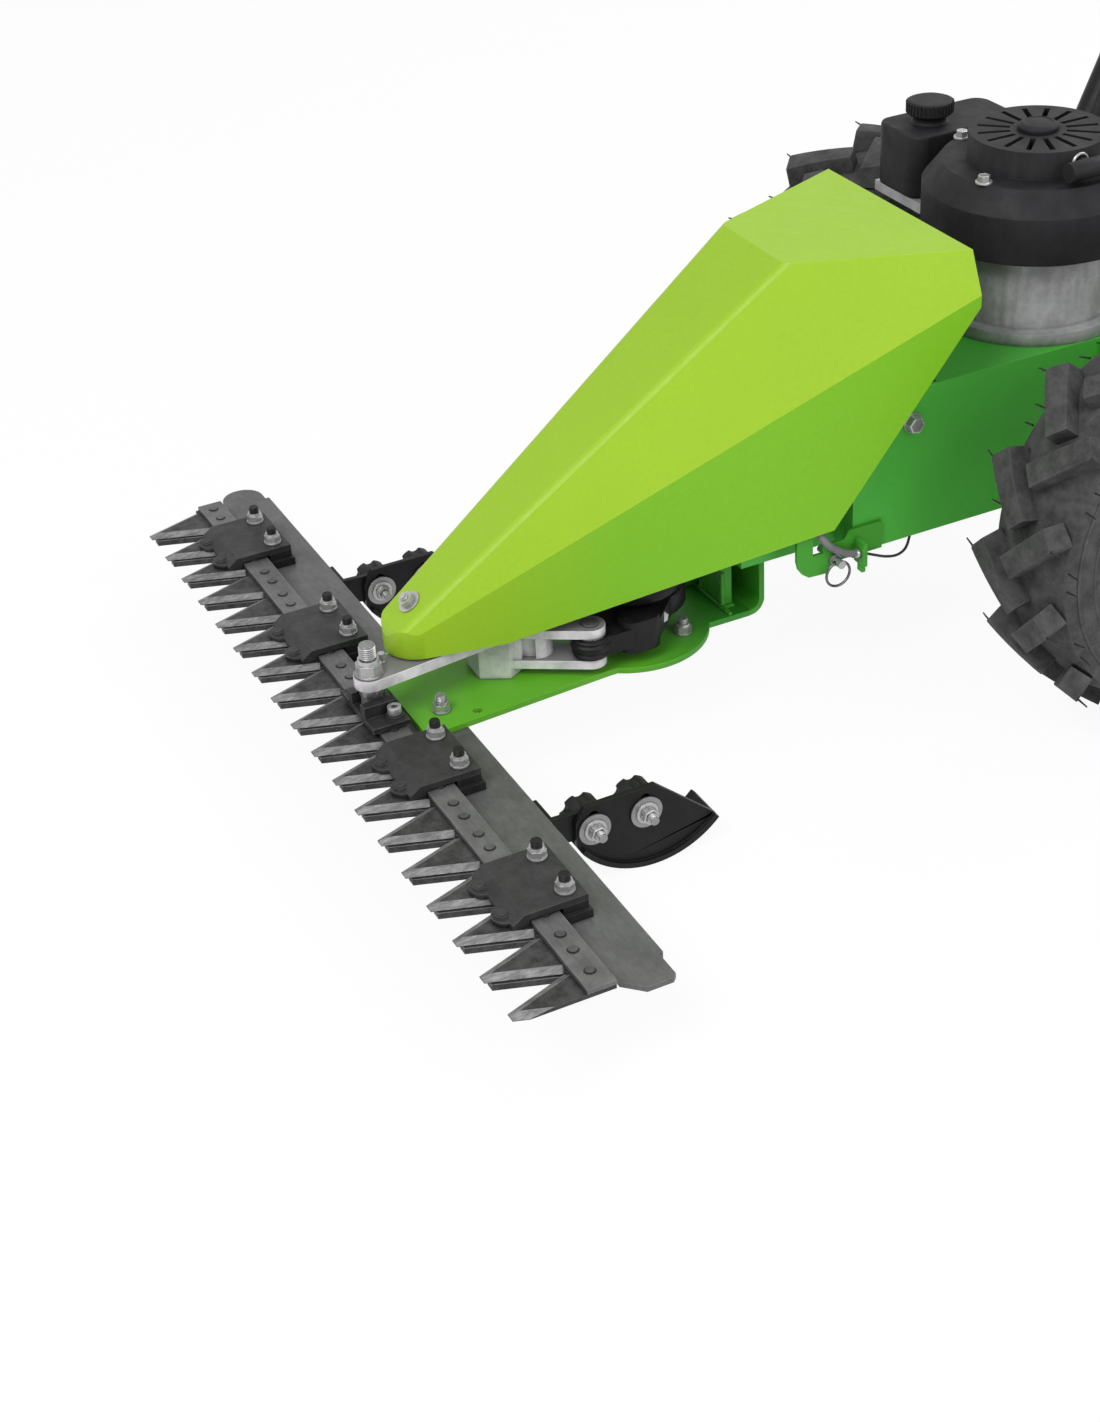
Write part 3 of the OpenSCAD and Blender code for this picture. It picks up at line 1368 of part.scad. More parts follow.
bar_plate();
lower_comb();
clip_spacers();
clip_plates();
clip_bolts();
clip_nuts();
knife_sections();
knife_back();
knife_rivets();
knife_head();
knife_head_screws();
deck_plate();
deck_bolts();
coupling_bracket();
pivot_post();
hood_stay();
bearing_housing();
rocker_arm();
pivot_bush();
drive_stud();
drive_nut();
drive_roller();
clevis_pin();
fork_washers();
drive_rod();
rod_bearing();
crank_pin();
crank_wheel();
knife_pulley();
skid_brackets();
skid_knobs();
skid_bolts();
skid_left();
skid_right();
hood();
hood_bolts();
chassis();
lock_bracket();
lock_pin();
lock_ring();
lock_cable();
gearbox();
left_rim();
left_tyre();
right_rim();
right_tyre();
engine_block();
engine_cowl();
engine_shaft();
knife_belt();
fuel_tank();
muffler();
air_filter();
starter_grip();
handle_brackets();
handlebar();
grips();
knife_lever();
drive_lever();
throttle_lever();
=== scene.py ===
import json
import math
import random
import bpy
import bmesh
from mathutils import Matrix, Vector


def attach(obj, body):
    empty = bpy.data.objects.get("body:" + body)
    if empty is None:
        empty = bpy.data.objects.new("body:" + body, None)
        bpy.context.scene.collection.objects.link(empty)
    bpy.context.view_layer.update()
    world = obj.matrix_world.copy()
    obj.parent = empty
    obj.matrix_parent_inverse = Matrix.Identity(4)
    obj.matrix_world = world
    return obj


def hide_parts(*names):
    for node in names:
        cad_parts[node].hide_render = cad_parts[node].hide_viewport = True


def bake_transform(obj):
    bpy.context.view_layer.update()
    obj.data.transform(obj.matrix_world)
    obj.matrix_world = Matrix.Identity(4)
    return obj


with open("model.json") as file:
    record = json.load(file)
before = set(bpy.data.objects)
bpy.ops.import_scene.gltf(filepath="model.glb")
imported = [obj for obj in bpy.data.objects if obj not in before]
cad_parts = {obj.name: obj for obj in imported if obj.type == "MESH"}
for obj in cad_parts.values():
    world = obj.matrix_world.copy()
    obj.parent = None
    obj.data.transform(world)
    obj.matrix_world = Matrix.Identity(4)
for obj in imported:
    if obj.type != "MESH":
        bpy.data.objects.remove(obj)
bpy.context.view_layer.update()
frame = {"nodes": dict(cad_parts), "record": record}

nodes = frame["nodes"]
scene = bpy.context.scene
dice = random.Random(11)
midY = 740  # the drawing counts y from the tooth tips, the frame from the machine's middle
axleY, axleZ = 785, 197
chassisSide = 95
toothPitch = 50.8
print("frame loaded,", len(nodes), "nodes")


def at(x, y, z):
    # a place on the drawing, in mm, as a point of the frame
    return Vector((x, y - midY, z)) / 1000


# camera at the photograph's place, principal point in the middle of the frame
cameraSet = {
    "place": (1.7065, -1.2542, 1.2438),
    "right": (0.442, 0.896, -0.053),
    "up": (-0.473, 0.283, 0.834),
    "focalPixels": 2350.0,
    "frameHeight": 1422.0,
    "sensor": 36.0,
    "clip": (0.05, 100.0),
}


def addCamera(v):
    right = Vector(v["right"]).normalized()
    up = Vector(v["up"])
    up = (up - right * up.dot(right)).normalized()
    back = right.cross(up)
    data = bpy.data.cameras.new("photoCamera")
    data.sensor_width = v["sensor"]
    data.lens = v["sensor"] * v["focalPixels"] / v["frameHeight"]
    data.clip_start, data.clip_end = v["clip"]
    camera = bpy.data.objects.new("photoCamera", data)
    turn = Matrix((right, up, back)).transposed()
    camera.matrix_world = Matrix.Translation(v["place"]) @ turn.to_4x4()
    scene.collection.objects.link(camera)
    scene.camera = camera


addCamera(cameraSet)
print("camera set")


# small helpers for material trees
def startMaterial(name):
    material = bpy.data.materials.new(name)
    material.use_nodes = True
    tree = material.node_tree
    return material, tree, tree.nodes["Principled BSDF"]


def addNode(tree, kind, **values):
    node = tree.nodes.new(kind)
    for key, value in values.items():
        if hasattr(node, key):
            setattr(node, key, value)
        else:
            node.inputs[key.replace("_", " ")].default_value = value
    return node


def objectCoords(tree, scale=(1, 1, 1)):
    coords = tree.nodes.new("ShaderNodeTexCoord")
    mapping = tree.nodes.new("ShaderNodeMapping")
    mapping.inputs["Scale"].default_value = scale
    tree.links.new(coords.outputs["Object"], mapping.inputs["Vector"])
    return mapping.outputs["Vector"]


def noise(tree, scale, detail=4.0, rough=0.55, stretch=(1, 1, 1)):
    node = addNode(tree, "ShaderNodeTexNoise", Scale=scale, Detail=detail, Roughness=rough)
    tree.links.new(objectCoords(tree, stretch), node.inputs["Vector"])
    return node.outputs["Fac"]


def ramp(tree, factor, stops):
    node = tree.nodes.new("ShaderNodeValToRGB")
    elements = node.color_ramp.elements
    while len(elements) < len(stops):
        elements.new(0.5)
    for element, (position, value) in zip(elements, stops):
        element.position = position
        element.color = value
    tree.links.new(factor, node.inputs["Fac"])
    return node.outputs["Color"]


def grey(value):
    return (value, value, value, 1)


def shade(colour, amount):
    return tuple(min(1.0, c * amount) for c in colour[:3]) + (1,)


def mixColours(tree, factor, first, second, blend="MIX"):
    node = tree.nodes.new("ShaderNodeMix")
    node.data_type = "RGBA"
    node.blend_type = blend
    for socket, value in ((node.inputs[0], factor), (node.inputs[6], first), (node.inputs[7], second)):
        if hasattr(value, "is_output"):
            tree.links.new(value, socket)
        else:
            socket.default_value = value
    return node.outputs[2]


def bump(tree, shader, height, strength, distance):
    node = addNode(tree, "ShaderNodeBump", Strength=strength, Distance=distance)
    tree.links.new(height, node.inputs["Height"])
    tree.links.new(node.outputs["Normal"], shader.inputs["Normal"])


def edgeMask(tree, radius, amount=1.0):
    # 1 along sharp edges, broken up by a fine noise, 0 on the flats
    rounded = addNode(tree, "ShaderNodeBevel", samples=4, Radius=radius)
    geometry = tree.nodes.new("ShaderNodeNewGeometry")
    dot = addNode(tree, "ShaderNodeVectorMath", operation="DOT_PRODUCT")
    tree.links.new(rounded.outputs["Normal"], dot.inputs[0])
    tree.links.new(geometry.outputs["Normal"], dot.inputs[1])
    edge = ramp(tree, dot.outputs["Value"], ((0.86, grey(amount)), (0.985, grey(0))))
    broken = ramp(tree, noise(tree, 160.0, 6.0, 0.65), ((0.35, grey(0.25)), (0.62, grey(1))))
    return mixColours(tree, 1.0, edge, broken, "MULTIPLY")


def facing(tree, stops):
    # ramp over how far a face looks up, in the object's own frame
    coords = tree.nodes.new("ShaderNodeTexCoord")
    split = tree.nodes.new("ShaderNodeSeparateXYZ")
    tree.links.new(coords.outputs["Normal"], split.inputs["Vector"])
    return ramp(tree, split.outputs["Z"], [(place, grey(value)) for place, value in stops])


def ahead(tree, stops):
    # ramp over the distance in front of the frame's middle, in metres
    split = tree.nodes.new("ShaderNodeSeparateXYZ")
    tree.links.new(objectCoords(tree, (1, -1, 1)), split.inputs["Vector"])
    return ramp(tree, split.outputs["Y"], [(place, grey(value)) for place, value in stops])


def paintedCornerShade(tree, colour, reach, dark):
    # painted shade: darkens the colour in corners, creases and round fasteners, where shade falls
    node = addNode(tree, "ShaderNodeAmbientOcclusion", samples=6, Distance=reach)
    corner = ramp(tree, node.outputs["AO"], ((0.3, grey(dark)), (0.8, grey(1))))
    return mixColours(tree, 1.0, colour, corner, "MULTIPLY")


def setGloss(tree, shader, rough, spread, scale):
    gloss = ramp(tree, noise(tree, scale, 6.0), ((0.3, grey(rough - spread)), (0.72, grey(rough + spread))))
    tree.links.new(gloss, shader.inputs["Roughness"])


def makePaint(name, colour, rough=0.45, mottle=0.05, rub=0.25, shadedSides=None, rearShade=None):
    # sprayed and baked paint: faint orange peel, slow drift of colour, fine dust, paler rubbed edges;
    # upright faces behind the nose, and faces towards the rear, may take a darker colour: painted shade
    material, tree, shader = startMaterial(name)
    drift = ramp(tree, noise(tree, 6.0, 3.0),
                 ((0.3, shade(colour, 1 - mottle)), (0.7, shade(colour, 1 + mottle))))
    # painted shade: upright faces, except near the nose, take the darker second colour
    if shadedSides:
        steep = facing(tree, ((0.12, 1), (0.34, 0)))
        behindNose = ahead(tree, ((0.43, 1), (0.6, 0)))
        drift = mixColours(tree, mixColours(tree, 1.0, steep, behindNose, "MULTIPLY"), drift, shadedSides)
    # painted shade: faces towards the rear fade into the darker rear colour
    if rearShade:
        drift = mixColours(tree, ahead(tree, ((0.32, 1), (0.46, 0))), drift, rearShade)
    dust = ramp(tree, noise(tree, 210.0, 5.0, 0.7), ((0.3, grey(0.93)), (0.7, grey(1.0))))
    dusty = mixColours(tree, 1.0, drift, dust, "MULTIPLY")
    rubbed = mixColours(tree, edgeMask(tree, 0.0018, rub), dusty, shade(colour, 1.5))
    # base colour, with painted shade in the corners
    tree.links.new(paintedCornerShade(tree, rubbed, 0.008, 0.6), shader.inputs["Base Color"])
    setGloss(tree, shader, rough, 0.06, 60.0)
    shader.inputs["Specular IOR Level"].default_value = 0.32
    bump(tree, shader, noise(tree, 420.0, 2.0), 0.05, 0.0006)
    return material


def makeSteel(name, dark, light, rough, stretch=(1, 1, 1), scratch=0.12, metallic=0.75, wear=0.0,
              drawn=0.28):
    # rolled or plated steel: clouds at two scales, fine drawn lines, bright rubbed edges
    material, tree, shader = startMaterial(name)
    cloud = ramp(tree, noise(tree, 34.0, 9.0, 0.68), ((0.32, grey(dark)), (0.68, grey(light))))
    lines = noise(tree, 300.0, 5.0, 0.62, stretch)
    streak = ramp(tree, lines, ((0.32, grey(1 - drawn)), (0.68, grey(1.0))))
    tone = mixColours(tree, 0.8, cloud, streak, "MULTIPLY")
    if wear:
        tone = mixColours(tree, edgeMask(tree, 0.0014, wear), tone, grey(min(1, light * 2.1)))
    # base colour, with painted shade in the corners
    tree.links.new(paintedCornerShade(tree, tone, 0.005, 0.3), shader.inputs["Base Color"])
    shader.inputs["Metallic"].default_value = metallic
    setGloss(tree, shader, rough, 0.09, 110.0)
    bump(tree, shader, lines, scratch, 0.0004)
    return material


def makeGroundSteel(name, dark, light, ground):
    # dark hardened plate, with bright grinding marks where a face is tilted off the flat
    material, tree, shader = startMaterial(name)
    stain = ramp(tree, noise(tree, 75.0, 9.0, 0.75), ((0.36, grey(dark)), (0.66, grey(light))))
    worn = mixColours(tree, edgeMask(tree, 0.0011, 0.5), stain, grey(ground * 0.7))
    lines = noise(tree, 260.0, 6.0, 0.7, (1.0, 0.25, 1.0))
    polish = ramp(tree, lines, ((0.33, grey(ground * 0.42)), (0.5, grey(ground * 0.8)),
                                (0.66, grey(ground * 1.25))))
    tilted = facing(tree, ((0.2, 0), (0.6, 1), (0.96, 1), (0.98, 0)))
    tone = mixColours(tree, tilted, worn, polish)
    # base colour, with painted shade in the corners
    tree.links.new(paintedCornerShade(tree, tone, 0.006, 0.4), shader.inputs["Base Color"])
    shader.inputs["Metallic"].default_value = 0.55
    setGloss(tree, shader, 0.48, 0.1, 120.0)
    bump(tree, shader, lines, 0.2, 0.0005)
    return material


def makeCast(name, colour, rough, metallic, grain=0.5, scale=320.0, wear=0.0, worn=(0.3, 0.3, 0.3, 1),
             sheen=0.5, topShade=1.0, stained=0.38):
    # sand-cast, forged or powder-coated skin with an even grain; faces that look up may be darkened: painted
    # shade
    material, tree, shader = startMaterial(name)
    tone = ramp(tree, noise(tree, 26.0, 7.0, 0.62), ((0.32, shade(colour, 0.7)), (0.7, shade(colour, 1.25))))
    stain = ramp(tree, noise(tree, 95.0, 9.0, 0.7), ((0.36, grey(1 - stained)), (0.6, grey(1))))
    tone = mixColours(tree, 1.0, tone, stain, "MULTIPLY")
    # painted shade: faces that look up take a darker colour
    if topShade < 1:
        tone = mixColours(tree, facing(tree, ((0.7, 0), (0.95, 1))), tone, shade(colour, topShade))
    if wear:
        tone = mixColours(tree, edgeMask(tree, 0.0014, wear), tone, worn)
    # base colour, with painted shade in the corners
    tree.links.new(paintedCornerShade(tree, tone, 0.007, 0.4), shader.inputs["Base Color"])
    shader.inputs["Metallic"].default_value = metallic
    shader.inputs["Specular IOR Level"].default_value = sheen
    setGloss(tree, shader, rough, 0.08, 70.0)
    bump(tree, shader, noise(tree, scale, 3.0), grain, 0.0006)
    return material


def makeRubber(name, colour, rough=0.72, grain=0.35, dust=1.7, sheen=0.3, wear=0.0):
    # moulded rubber or plastic: dull bloom in patches over a fine skin, edges scuffed pale
    material, tree, shader = startMaterial(name)
    tone = ramp(tree, noise(tree, 55.0, 9.0, 0.7), ((0.36, colour), (0.68, shade(colour, dust))))
    if wear:
        tone = mixColours(tree, edgeMask(tree, 0.004, wear), tone, shade(colour, 2.6))
    # base colour, with painted shade in the corners
    tree.links.new(paintedCornerShade(tree, tone, 0.014, 0.45), shader.inputs["Base Color"])
    shader.inputs["Specular IOR Level"].default_value = sheen
    setGloss(tree, shader, rough, 0.1, 45.0)
    bump(tree, shader, noise(tree, 460.0, 4.0), grain, 0.0006)
    return material


finishes = {
    # the hood's second colour is painted shade on its upright sides
    "hood_green": makePaint("hoodPaint", (0.29, 0.49, 0.017, 1), 0.44, 0.03, 0.3,
                            (0.185, 0.47, 0.01, 1)),
    # the deck's second colour is painted shade towards its rear, by the coupling
    "deck_green": makePaint("deckPaint", (0.098, 0.36, 0.014, 1), 0.5, 0.07, 0.4,
                            None, (0.035, 0.25, 0.02, 1)),
    "dark_green": makePaint("chassisPaint", (0.075, 0.46, 0.05, 1), 0.46, 0.05),
    "rim_paint": makePaint("rimPaint", (0.6, 0.6, 0.58, 1), 0.44, 0.04, 0.0),
    "knife_steel": makeGroundSteel("knifeSteel", 0.012, 0.07, 0.22),
    "bar_steel": makeSteel("barSteel", 0.086, 0.134, 0.52, (0.3, 1, 1), 0.08, 0.25, 0.4),
    "zinc": makeSteel("zincPlate", 0.42, 0.52, 0.33, (1, 1, 1), 0.03, 0.7, 0.0, 0.1),
    # the alloy's faces that look up are darkened: painted shade
    "alloy": makeCast("castAlloy", (0.72, 0.7, 0.725, 1), 0.45, 0.25, 0.4, 260.0, 0.5, grey(0.8),
                      0.5, 0.3, 0.15),
    "cast_black": makeCast("castBlack", (0.009, 0.009, 0.0095, 1), 0.5, 0.0, 0.5, 240.0, sheen=0.22),
    "black_steel": makeCast("blackSteel", (0.007, 0.007, 0.0075, 1), 0.45, 0.0, 0.25, 380.0, 0.2,
                            grey(0.08), 0.2),
    "bronze": makeCast("bushBronze", (0.36, 0.24, 0.09, 1), 0.4, 0.9, 0.3),
    "black_plastic": makeRubber("mouldedPlastic", (0.013, 0.012, 0.0135, 1), 0.6, 0.25, 1.4, 0.2),
    "red_plastic": makeRubber("leverPlastic", (0.34, 0.016, 0.012, 1), 0.42, 0.2, 1.15),
    "cable_sheath": makeRubber("cableSheath", (0.13, 0.13, 0.135, 1), 0.46, 0.2, 1.4),
    "tyre": makeRubber("tyreRubber", (0.032, 0.032, 0.0325, 1), 0.85, 0.6, 2.6, 0.3, 0.7),
    "rubber": makeRubber("gripRubber", (0.015, 0.015, 0.016, 1), 0.6, 0.4),
}
# nodes whose finish differs from the rest of their slot
bracketPaint = makePaint("bracketPaint", (0.05, 0.31, 0.022, 1), 0.5, 0.07, 0.4)
ownFinishes = {
    "coupling_bracket": bracketPaint,
    "lock_bracket": bracketPaint,
    "knife_back": makeSteel("backSteel", 0.1, 0.18, 0.5, (0.2, 1, 1), 0.15, 0.5, 0.4),
    "knife_rivets": makeSteel("rivetSteel", 0.07, 0.14, 0.42, (1, 1, 1), 0.15, 0.6),
    "clip_plates": makeCast("clipSteel", (0.036, 0.036, 0.0365, 1), 0.52, 0.25, 0.9, 90.0, 0.7,
                            grey(0.12), 0.35),
    "clip_spacers": makeCast("shimSteel", (0.016, 0.016, 0.0165, 1), 0.5, 0.2, 0.3, 200.0, 0.3,
                             grey(0.09), 0.35),
    "knife_head": makeCast("forgedSteel", (0.035, 0.035, 0.036, 1), 0.5, 0.35, 0.5, 180.0, 0.8,
                           grey(0.2), 0.4),
    "muffler": makeCast("mufflerSteel", (0.06, 0.058, 0.056, 1), 0.55, 0.6, 0.4, 220.0, 0.3),
    "engine_block": makeCast("engineAlloy", (0.4, 0.4, 0.405, 1), 0.5, 0.4, 0.4, 260.0, 0.3, grey(0.6),
                             stained=0.15),
    "skid_bolts": makeSteel("washerSteel", 0.25, 0.33, 0.38, (1, 1, 1), 0.05, 0.75, 0.0, 0.15),
    "drive_stud": makeSteel("studSteel", 0.24, 0.32, 0.38, (1, 1, 1), 0.05, 0.85),
    "lock_ring": makeSteel("ringSteel", 0.12, 0.22, 0.32, (1, 1, 1), 0.05, 0.9),
}
slotOf = {row["node"]: row["material_slot"] for row in frame["record"]["subparts"]}
for nodeName, node in nodes.items():
    node.data.materials.clear()
    node.data.materials.append(ownFinishes.get(nodeName) or finishes[slotOf[nodeName]])
print("finishes on", len(nodes), "nodes")


# small rounded edges on the rigid nodes, in mm, so that they catch the light
edgeRule = {"weld": 0.00001, "flatDegrees": 1.0, "sharpDegrees": 32, "segments": 2}
softEdges = {
    "hood": 1.2, "deck_plate": 0.8, "coupling_bracket": 0.9, "chassis": 1.0, "lock_bracket": 0.6,
    "bar_plate": 0.8, "clip_plates": 1.5, "clip_spacers": 0.6, "knife_head": 0.7, "knife_back": 0.35,
    "rocker_arm": 1.6, "drive_rod": 1.2, "skid_left": 0.7, "skid_right": 0.7, "skid_brackets": 0.6,
    "skid_knobs": 1.0, "skid_bolts": 0.35, "bearing_housing": 1.5, "hood_stay": 0.6, "gearbox": 2.5,
    "engine_block": 1.0, "engine_cowl": 2.5, "fuel_tank": 3.0, "muffler": 2.0, "air_filter": 2.0,
    "starter_grip": 1.5, "handle_brackets": 0.8, "knife_lever": 0.8, "drive_lever": 0.8,
    "throttle_lever": 0.8, "clip_nuts": 0.35, "deck_bolts": 0.35, "hood_bolts": 0.3, "drive_nut": 0.4,
    "left_rim": 0.8, "right_rim": 0.8, "left_tyre": 1.6, "right_tyre": 1.6, "handlebar": 0.8,
    "grips": 1.5, "lower_comb": 0.3, "crank_wheel": 0.8, "knife_pulley": 0.6, "drive_stud": 0.6,
    "clip_bolts": 0.5, "knife_head_screws": 0.4, "clevis_pin": 0.5,
}


def softenEdges(piece, width, v):
    weld = piece.modifiers.new("weld", "WELD")
    weld.merge_threshold = v["weld"]
    flat = piece.modifiers.new("flat", "DECIMATE")
    flat.decimate_type = "DISSOLVE"
    flat.angle_limit = math.radians(v["flatDegrees"])
    bevel = piece.modifiers.new("edge", "BEVEL")
    bevel.width = width / 1000
    bevel.segments = v["segments"]
    bevel.limit_method = "ANGLE"
    bevel.angle_limit = math.radians(v["sharpDegrees"])
    bevel.harden_normals = True


for nodeName, width in softEdges.items():
    softenEdges(nodes[nodeName], width, edgeRule)
print("edges softened on", len(softEdges), "nodes")


# helpers for modelling by hand
def clearSelection():
    if bpy.context.mode != "OBJECT":
        bpy.ops.object.mode_set(mode="OBJECT")
    bpy.ops.object.select_all(action="DESELECT")


def takeActive(piece):
    clearSelection()
    piece.select_set(True)
    bpy.context.view_layer.objects.active = piece


def startEdit(piece, kind):
    takeActive(piece)
    bpy.ops.object.mode_set(mode="EDIT")
    bpy.ops.mesh.select_mode(type=kind)
    bpy.ops.mesh.select_all(action="DESELECT")


def pick(piece, kind, test):
    # selects the verts, edges or faces that pass the test, and only those
    mesh = bmesh.from_edit_mesh(piece.data)
    for element in getattr(mesh, kind):
        element.select_set(False)
    for element in getattr(mesh, kind):
        if test(element):
            element.select_set(True)
    mesh.select_flush_mode()
    bmesh.update_edit_mesh(piece.data)


def moveVerts(piece, place):
    # gives every vertex the place that the function returns for it
    mesh = bmesh.from_edit_mesh(piece.data)
    for vert in mesh.verts:
        vert.co = place(vert.co.copy())
    bmesh.update_edit_mesh(piece.data)


def closeMesh():
    bpy.ops.mesh.select_all(action="SELECT")
    bpy.ops.mesh.remove_doubles(threshold=0.000001)
    bpy.ops.mesh.normals_make_consistent(inside=False)
    bpy.ops.object.mode_set(mode="OBJECT")


def useModifiers(piece):
    takeActive(piece)
    for modifier in list(piece.modifiers):
        bpy.ops.object.modifier_apply(modifier=modifier.name)


def copyPiece(piece, turn):
    twin = piece.copy()
    twin.data = piece.data.copy()
    twin.data.transform(turn)
    scene.collection.objects.link(twin)
    return twin


def joinAll(pieces):
    clearSelection()
    for piece in pieces:
        piece.select_set(True)
    bpy.context.view_layer.objects.active = pieces[0]
    bpy.ops.object.join()
    return pieces[0]


def settle(piece):
    takeActive(piece)
    bpy.ops.object.transform_apply(location=True, rotation=True, scale=True)


def keepPiece(piece, name, body, slotName, finish=None, angle=35):
    settle(piece)
    bpy.ops.object.shade_smooth_by_angle(angle=math.radians(angle))
    piece.name = piece.data.name = name
    piece.data.materials.clear()
    piece.data.materials.append(finish or finishes[slotName])
    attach(piece, body)
    return piece


def copyTo(model, turns):
    # one joined piece from a model's copies; the model itself goes
    piece = joinAll([copyPiece(model, turn) for turn in turns])
    bpy.data.objects.remove(model)
    return piece


def standing(place, along=(0, 0, 1), spin=0.0):
    # turns a model's z axis along a direction and puts it in its place
    lean = Vector(along).to_track_quat("Z", "Y").to_matrix().to_4x4()
    return Matrix.Translation(place) @ lean @ Matrix.Rotation(math.radians(spin), 4, "Z")


def barrel(sides, radius, long, cuts, foot=False):
    # a cylinder along z in mm, centred or standing on its foot, cut into rows and left in edit mode
    clearSelection()
    bpy.ops.mesh.primitive_cylinder_add(vertices=sides, radius=radius / 1000, depth=long / 1000,
                                        location=(0, 0, long / 2000 if foot else 0))
    piece = bpy.context.active_object
    settle(piece)
    startEdit(piece, "EDGE")
    pick(piece, "edges", lambda e: abs(e.verts[0].co.z - e.verts[1].co.z) > long / 2000)
    bpy.ops.mesh.subdivide(number_cuts=cuts)
    return piece


def modelTurned(sides, radius, long, sizes):
    # turned as on a lathe: a barrel with one size for each row
    piece = barrel(sides, radius, long, len(sizes) - 2)

    def turned(place):
        size = sizes[round((place.z * 1000 / long + 0.5) * (len(sizes) - 1))]
        return Vector((place.x * size, place.y * size, place.z))

    moveVerts(piece, turned)
    closeMesh()
    return piece


def modelRing(major, minor, flat, segments=40, sides=10):
    # a ring round z, flattened along its axis
    clearSelection()
    bpy.ops.mesh.primitive_torus_add(major_radius=major / 1000, minor_radius=minor / 1000,
                                     major_segments=segments, minor_segments=sides)
    ring = bpy.context.active_object
    startEdit(ring, "VERT")
    moveVerts(ring, lambda p: Vector((p.x, p.y, p.z * flat)))
    bpy.ops.object.mode_set(mode="OBJECT")
    return ring


def roundEdges(piece, width, degrees=30):
    rounding = piece.modifiers.new("edge", "BEVEL")
    rounding.width = width / 1000
    rounding.segments = 2
    rounding.angle_limit = math.radians(degrees)
    useModifiers(piece)


# locking cable: grey sheath out of the hood to its tab, and the bare wire back to the chassis
lockCable = {
    "sheath": ((88, 485, 196), (94, 488.5, 191), (101, 492, 183), (106, 498, 174), (107, 508, 166),
               (107, 519, 160.3), (107, 533, 157)),
    "wire": ((107, 533.3, 157), (105.5, 548, 149.5), (104, 562, 143), (100, 577, 138.5), (94, 590, 139),
             (87, 599, 146.5), (84, 603, 158)),
    "sheathD": 7.0, "wireD": 2.6, "steps": 4,
    "ferruleR": 4.4, "ferruleLong": 12.0, "ferruleBack": 4.0,
    "grooves": (1.0, 0.96, 0.84, 0.96, 1.0, 0.96, 0.84, 0.96, 1.0, 1.0),
}


def smoothRoute(places, steps):
    # an even curve through the places, as points of the frame
    points = [at(*p) for p in places]
    ends = [2 * points[0] - points[1]] + points + [2 * points[-1] - points[-2]]
    route = []
    for a, b, c, d in zip(ends, ends[1:], ends[2:], ends[3:]):
        for i in range(steps):
            t = i / steps
            route.append(0.5 * (2 * b + (c - a) * t + (2 * a - 5 * b + 4 * c - d) * t ** 2
                                + (3 * b - a - 3 * c + d) * t ** 3))
    return route + [points[-1]]


def makeCord(name, route, diameter, slotName, finish=None):
    data = bpy.data.curves.new(name, "CURVE")
    data.dimensions = "3D"
    data.bevel_depth = diameter / 2000
    data.bevel_resolution = 6
    data.use_fill_caps = True
    spline = data.splines.new("POLY")
    spline.points.add(len(route) - 1)
    for point, place in zip(spline.points, route):
        point.co = (*place, 1)
    cord = bpy.data.objects.new(name, data)
    scene.collection.objects.link(cord)
    data.materials.append(finish or finishes[slotName])
    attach(cord, "frame")
    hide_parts("lock_cable")
    return cord


def runLength(route):
    return sum((b - a).length for a, b in zip(route, route[1:]))


def addLockCable(v):
    sheathRoute = smoothRoute(v["sheath"], v["steps"])
    wireRoute = smoothRoute(v["wire"], v["steps"])
    sheath = makeCord("lockSheath", sheathRoute, v["sheathD"], "cable_sheath")
    wire = makeCord("lockWire", wireRoute, v["wireD"], "black_steel", ownFinishes["muffler"])
    last = sheathRoute[-1] - sheathRoute[-2]
    spot = sheathRoute[-1] - last.normalized() * v["ferruleBack"] / 1000
    sleeve = modelTurned(32, v["ferruleR"], v["ferruleLong"], v["grooves"])  # crimped in two grooves
    sleeve = copyTo(sleeve, [standing(spot, last)])
    keepPiece(sleeve, "lockFerrule", "frame", "zinc")
    for name, route in (("sheath", sheathRoute), ("wire", wireRoute)):
        print("locking cable,", name, round(runLength(route) * 1000), "mm")


addLockCable(lockCable)


# cut threads on the ends of bolts and of the drive stud
clipXs = [x + s * toothPitch / 2 for x in (-330.2, -127.0, 127.0, 330.2) for s in (-1, 1)]
deckSpots = [(-44, 128, 95.1), (44, 128, 95.1), (-39, 380, 94.4), (39, 380, 94.4)]
skidSpots = [(x, y, 56) for x in (249.2, -220.8) for y in (181, 231)]
threadShape = {"sunk": 0.2, "flank": 0.4, "steps": 22}
threadSet = {
    "clipThreads": {"radius": 4.5, "depth": 0.45, "pitch": 1.25, "turns": 4, "body": "frame",
                    "slot": "black_steel", "along": (0, 0, 1), "spots": [(x, 98, 110.8) for x in clipXs]},
    "deckThreads": {"radius": 4.5, "depth": 0.45, "pitch": 1.25, "turns": 4, "body": "frame", "slot": "zinc",
                    "along": (0, 0, 1), "spots": deckSpots},
    "skidThreads": {"radius": 4.0, "depth": 0.5, "pitch": 1.5, "turns": 5, "body": "frame", "slot": "zinc",
                    "along": (1, 0, 0), "spots": skidSpots},
    "studThread": {"radius": 7.0, "depth": 0.9, "pitch": 2.0, "turns": 6, "body": "rocker", "slot": "zinc",
                   "along": (0, 0, 1), "spots": [(25.4, 70, 149.4)]},
}


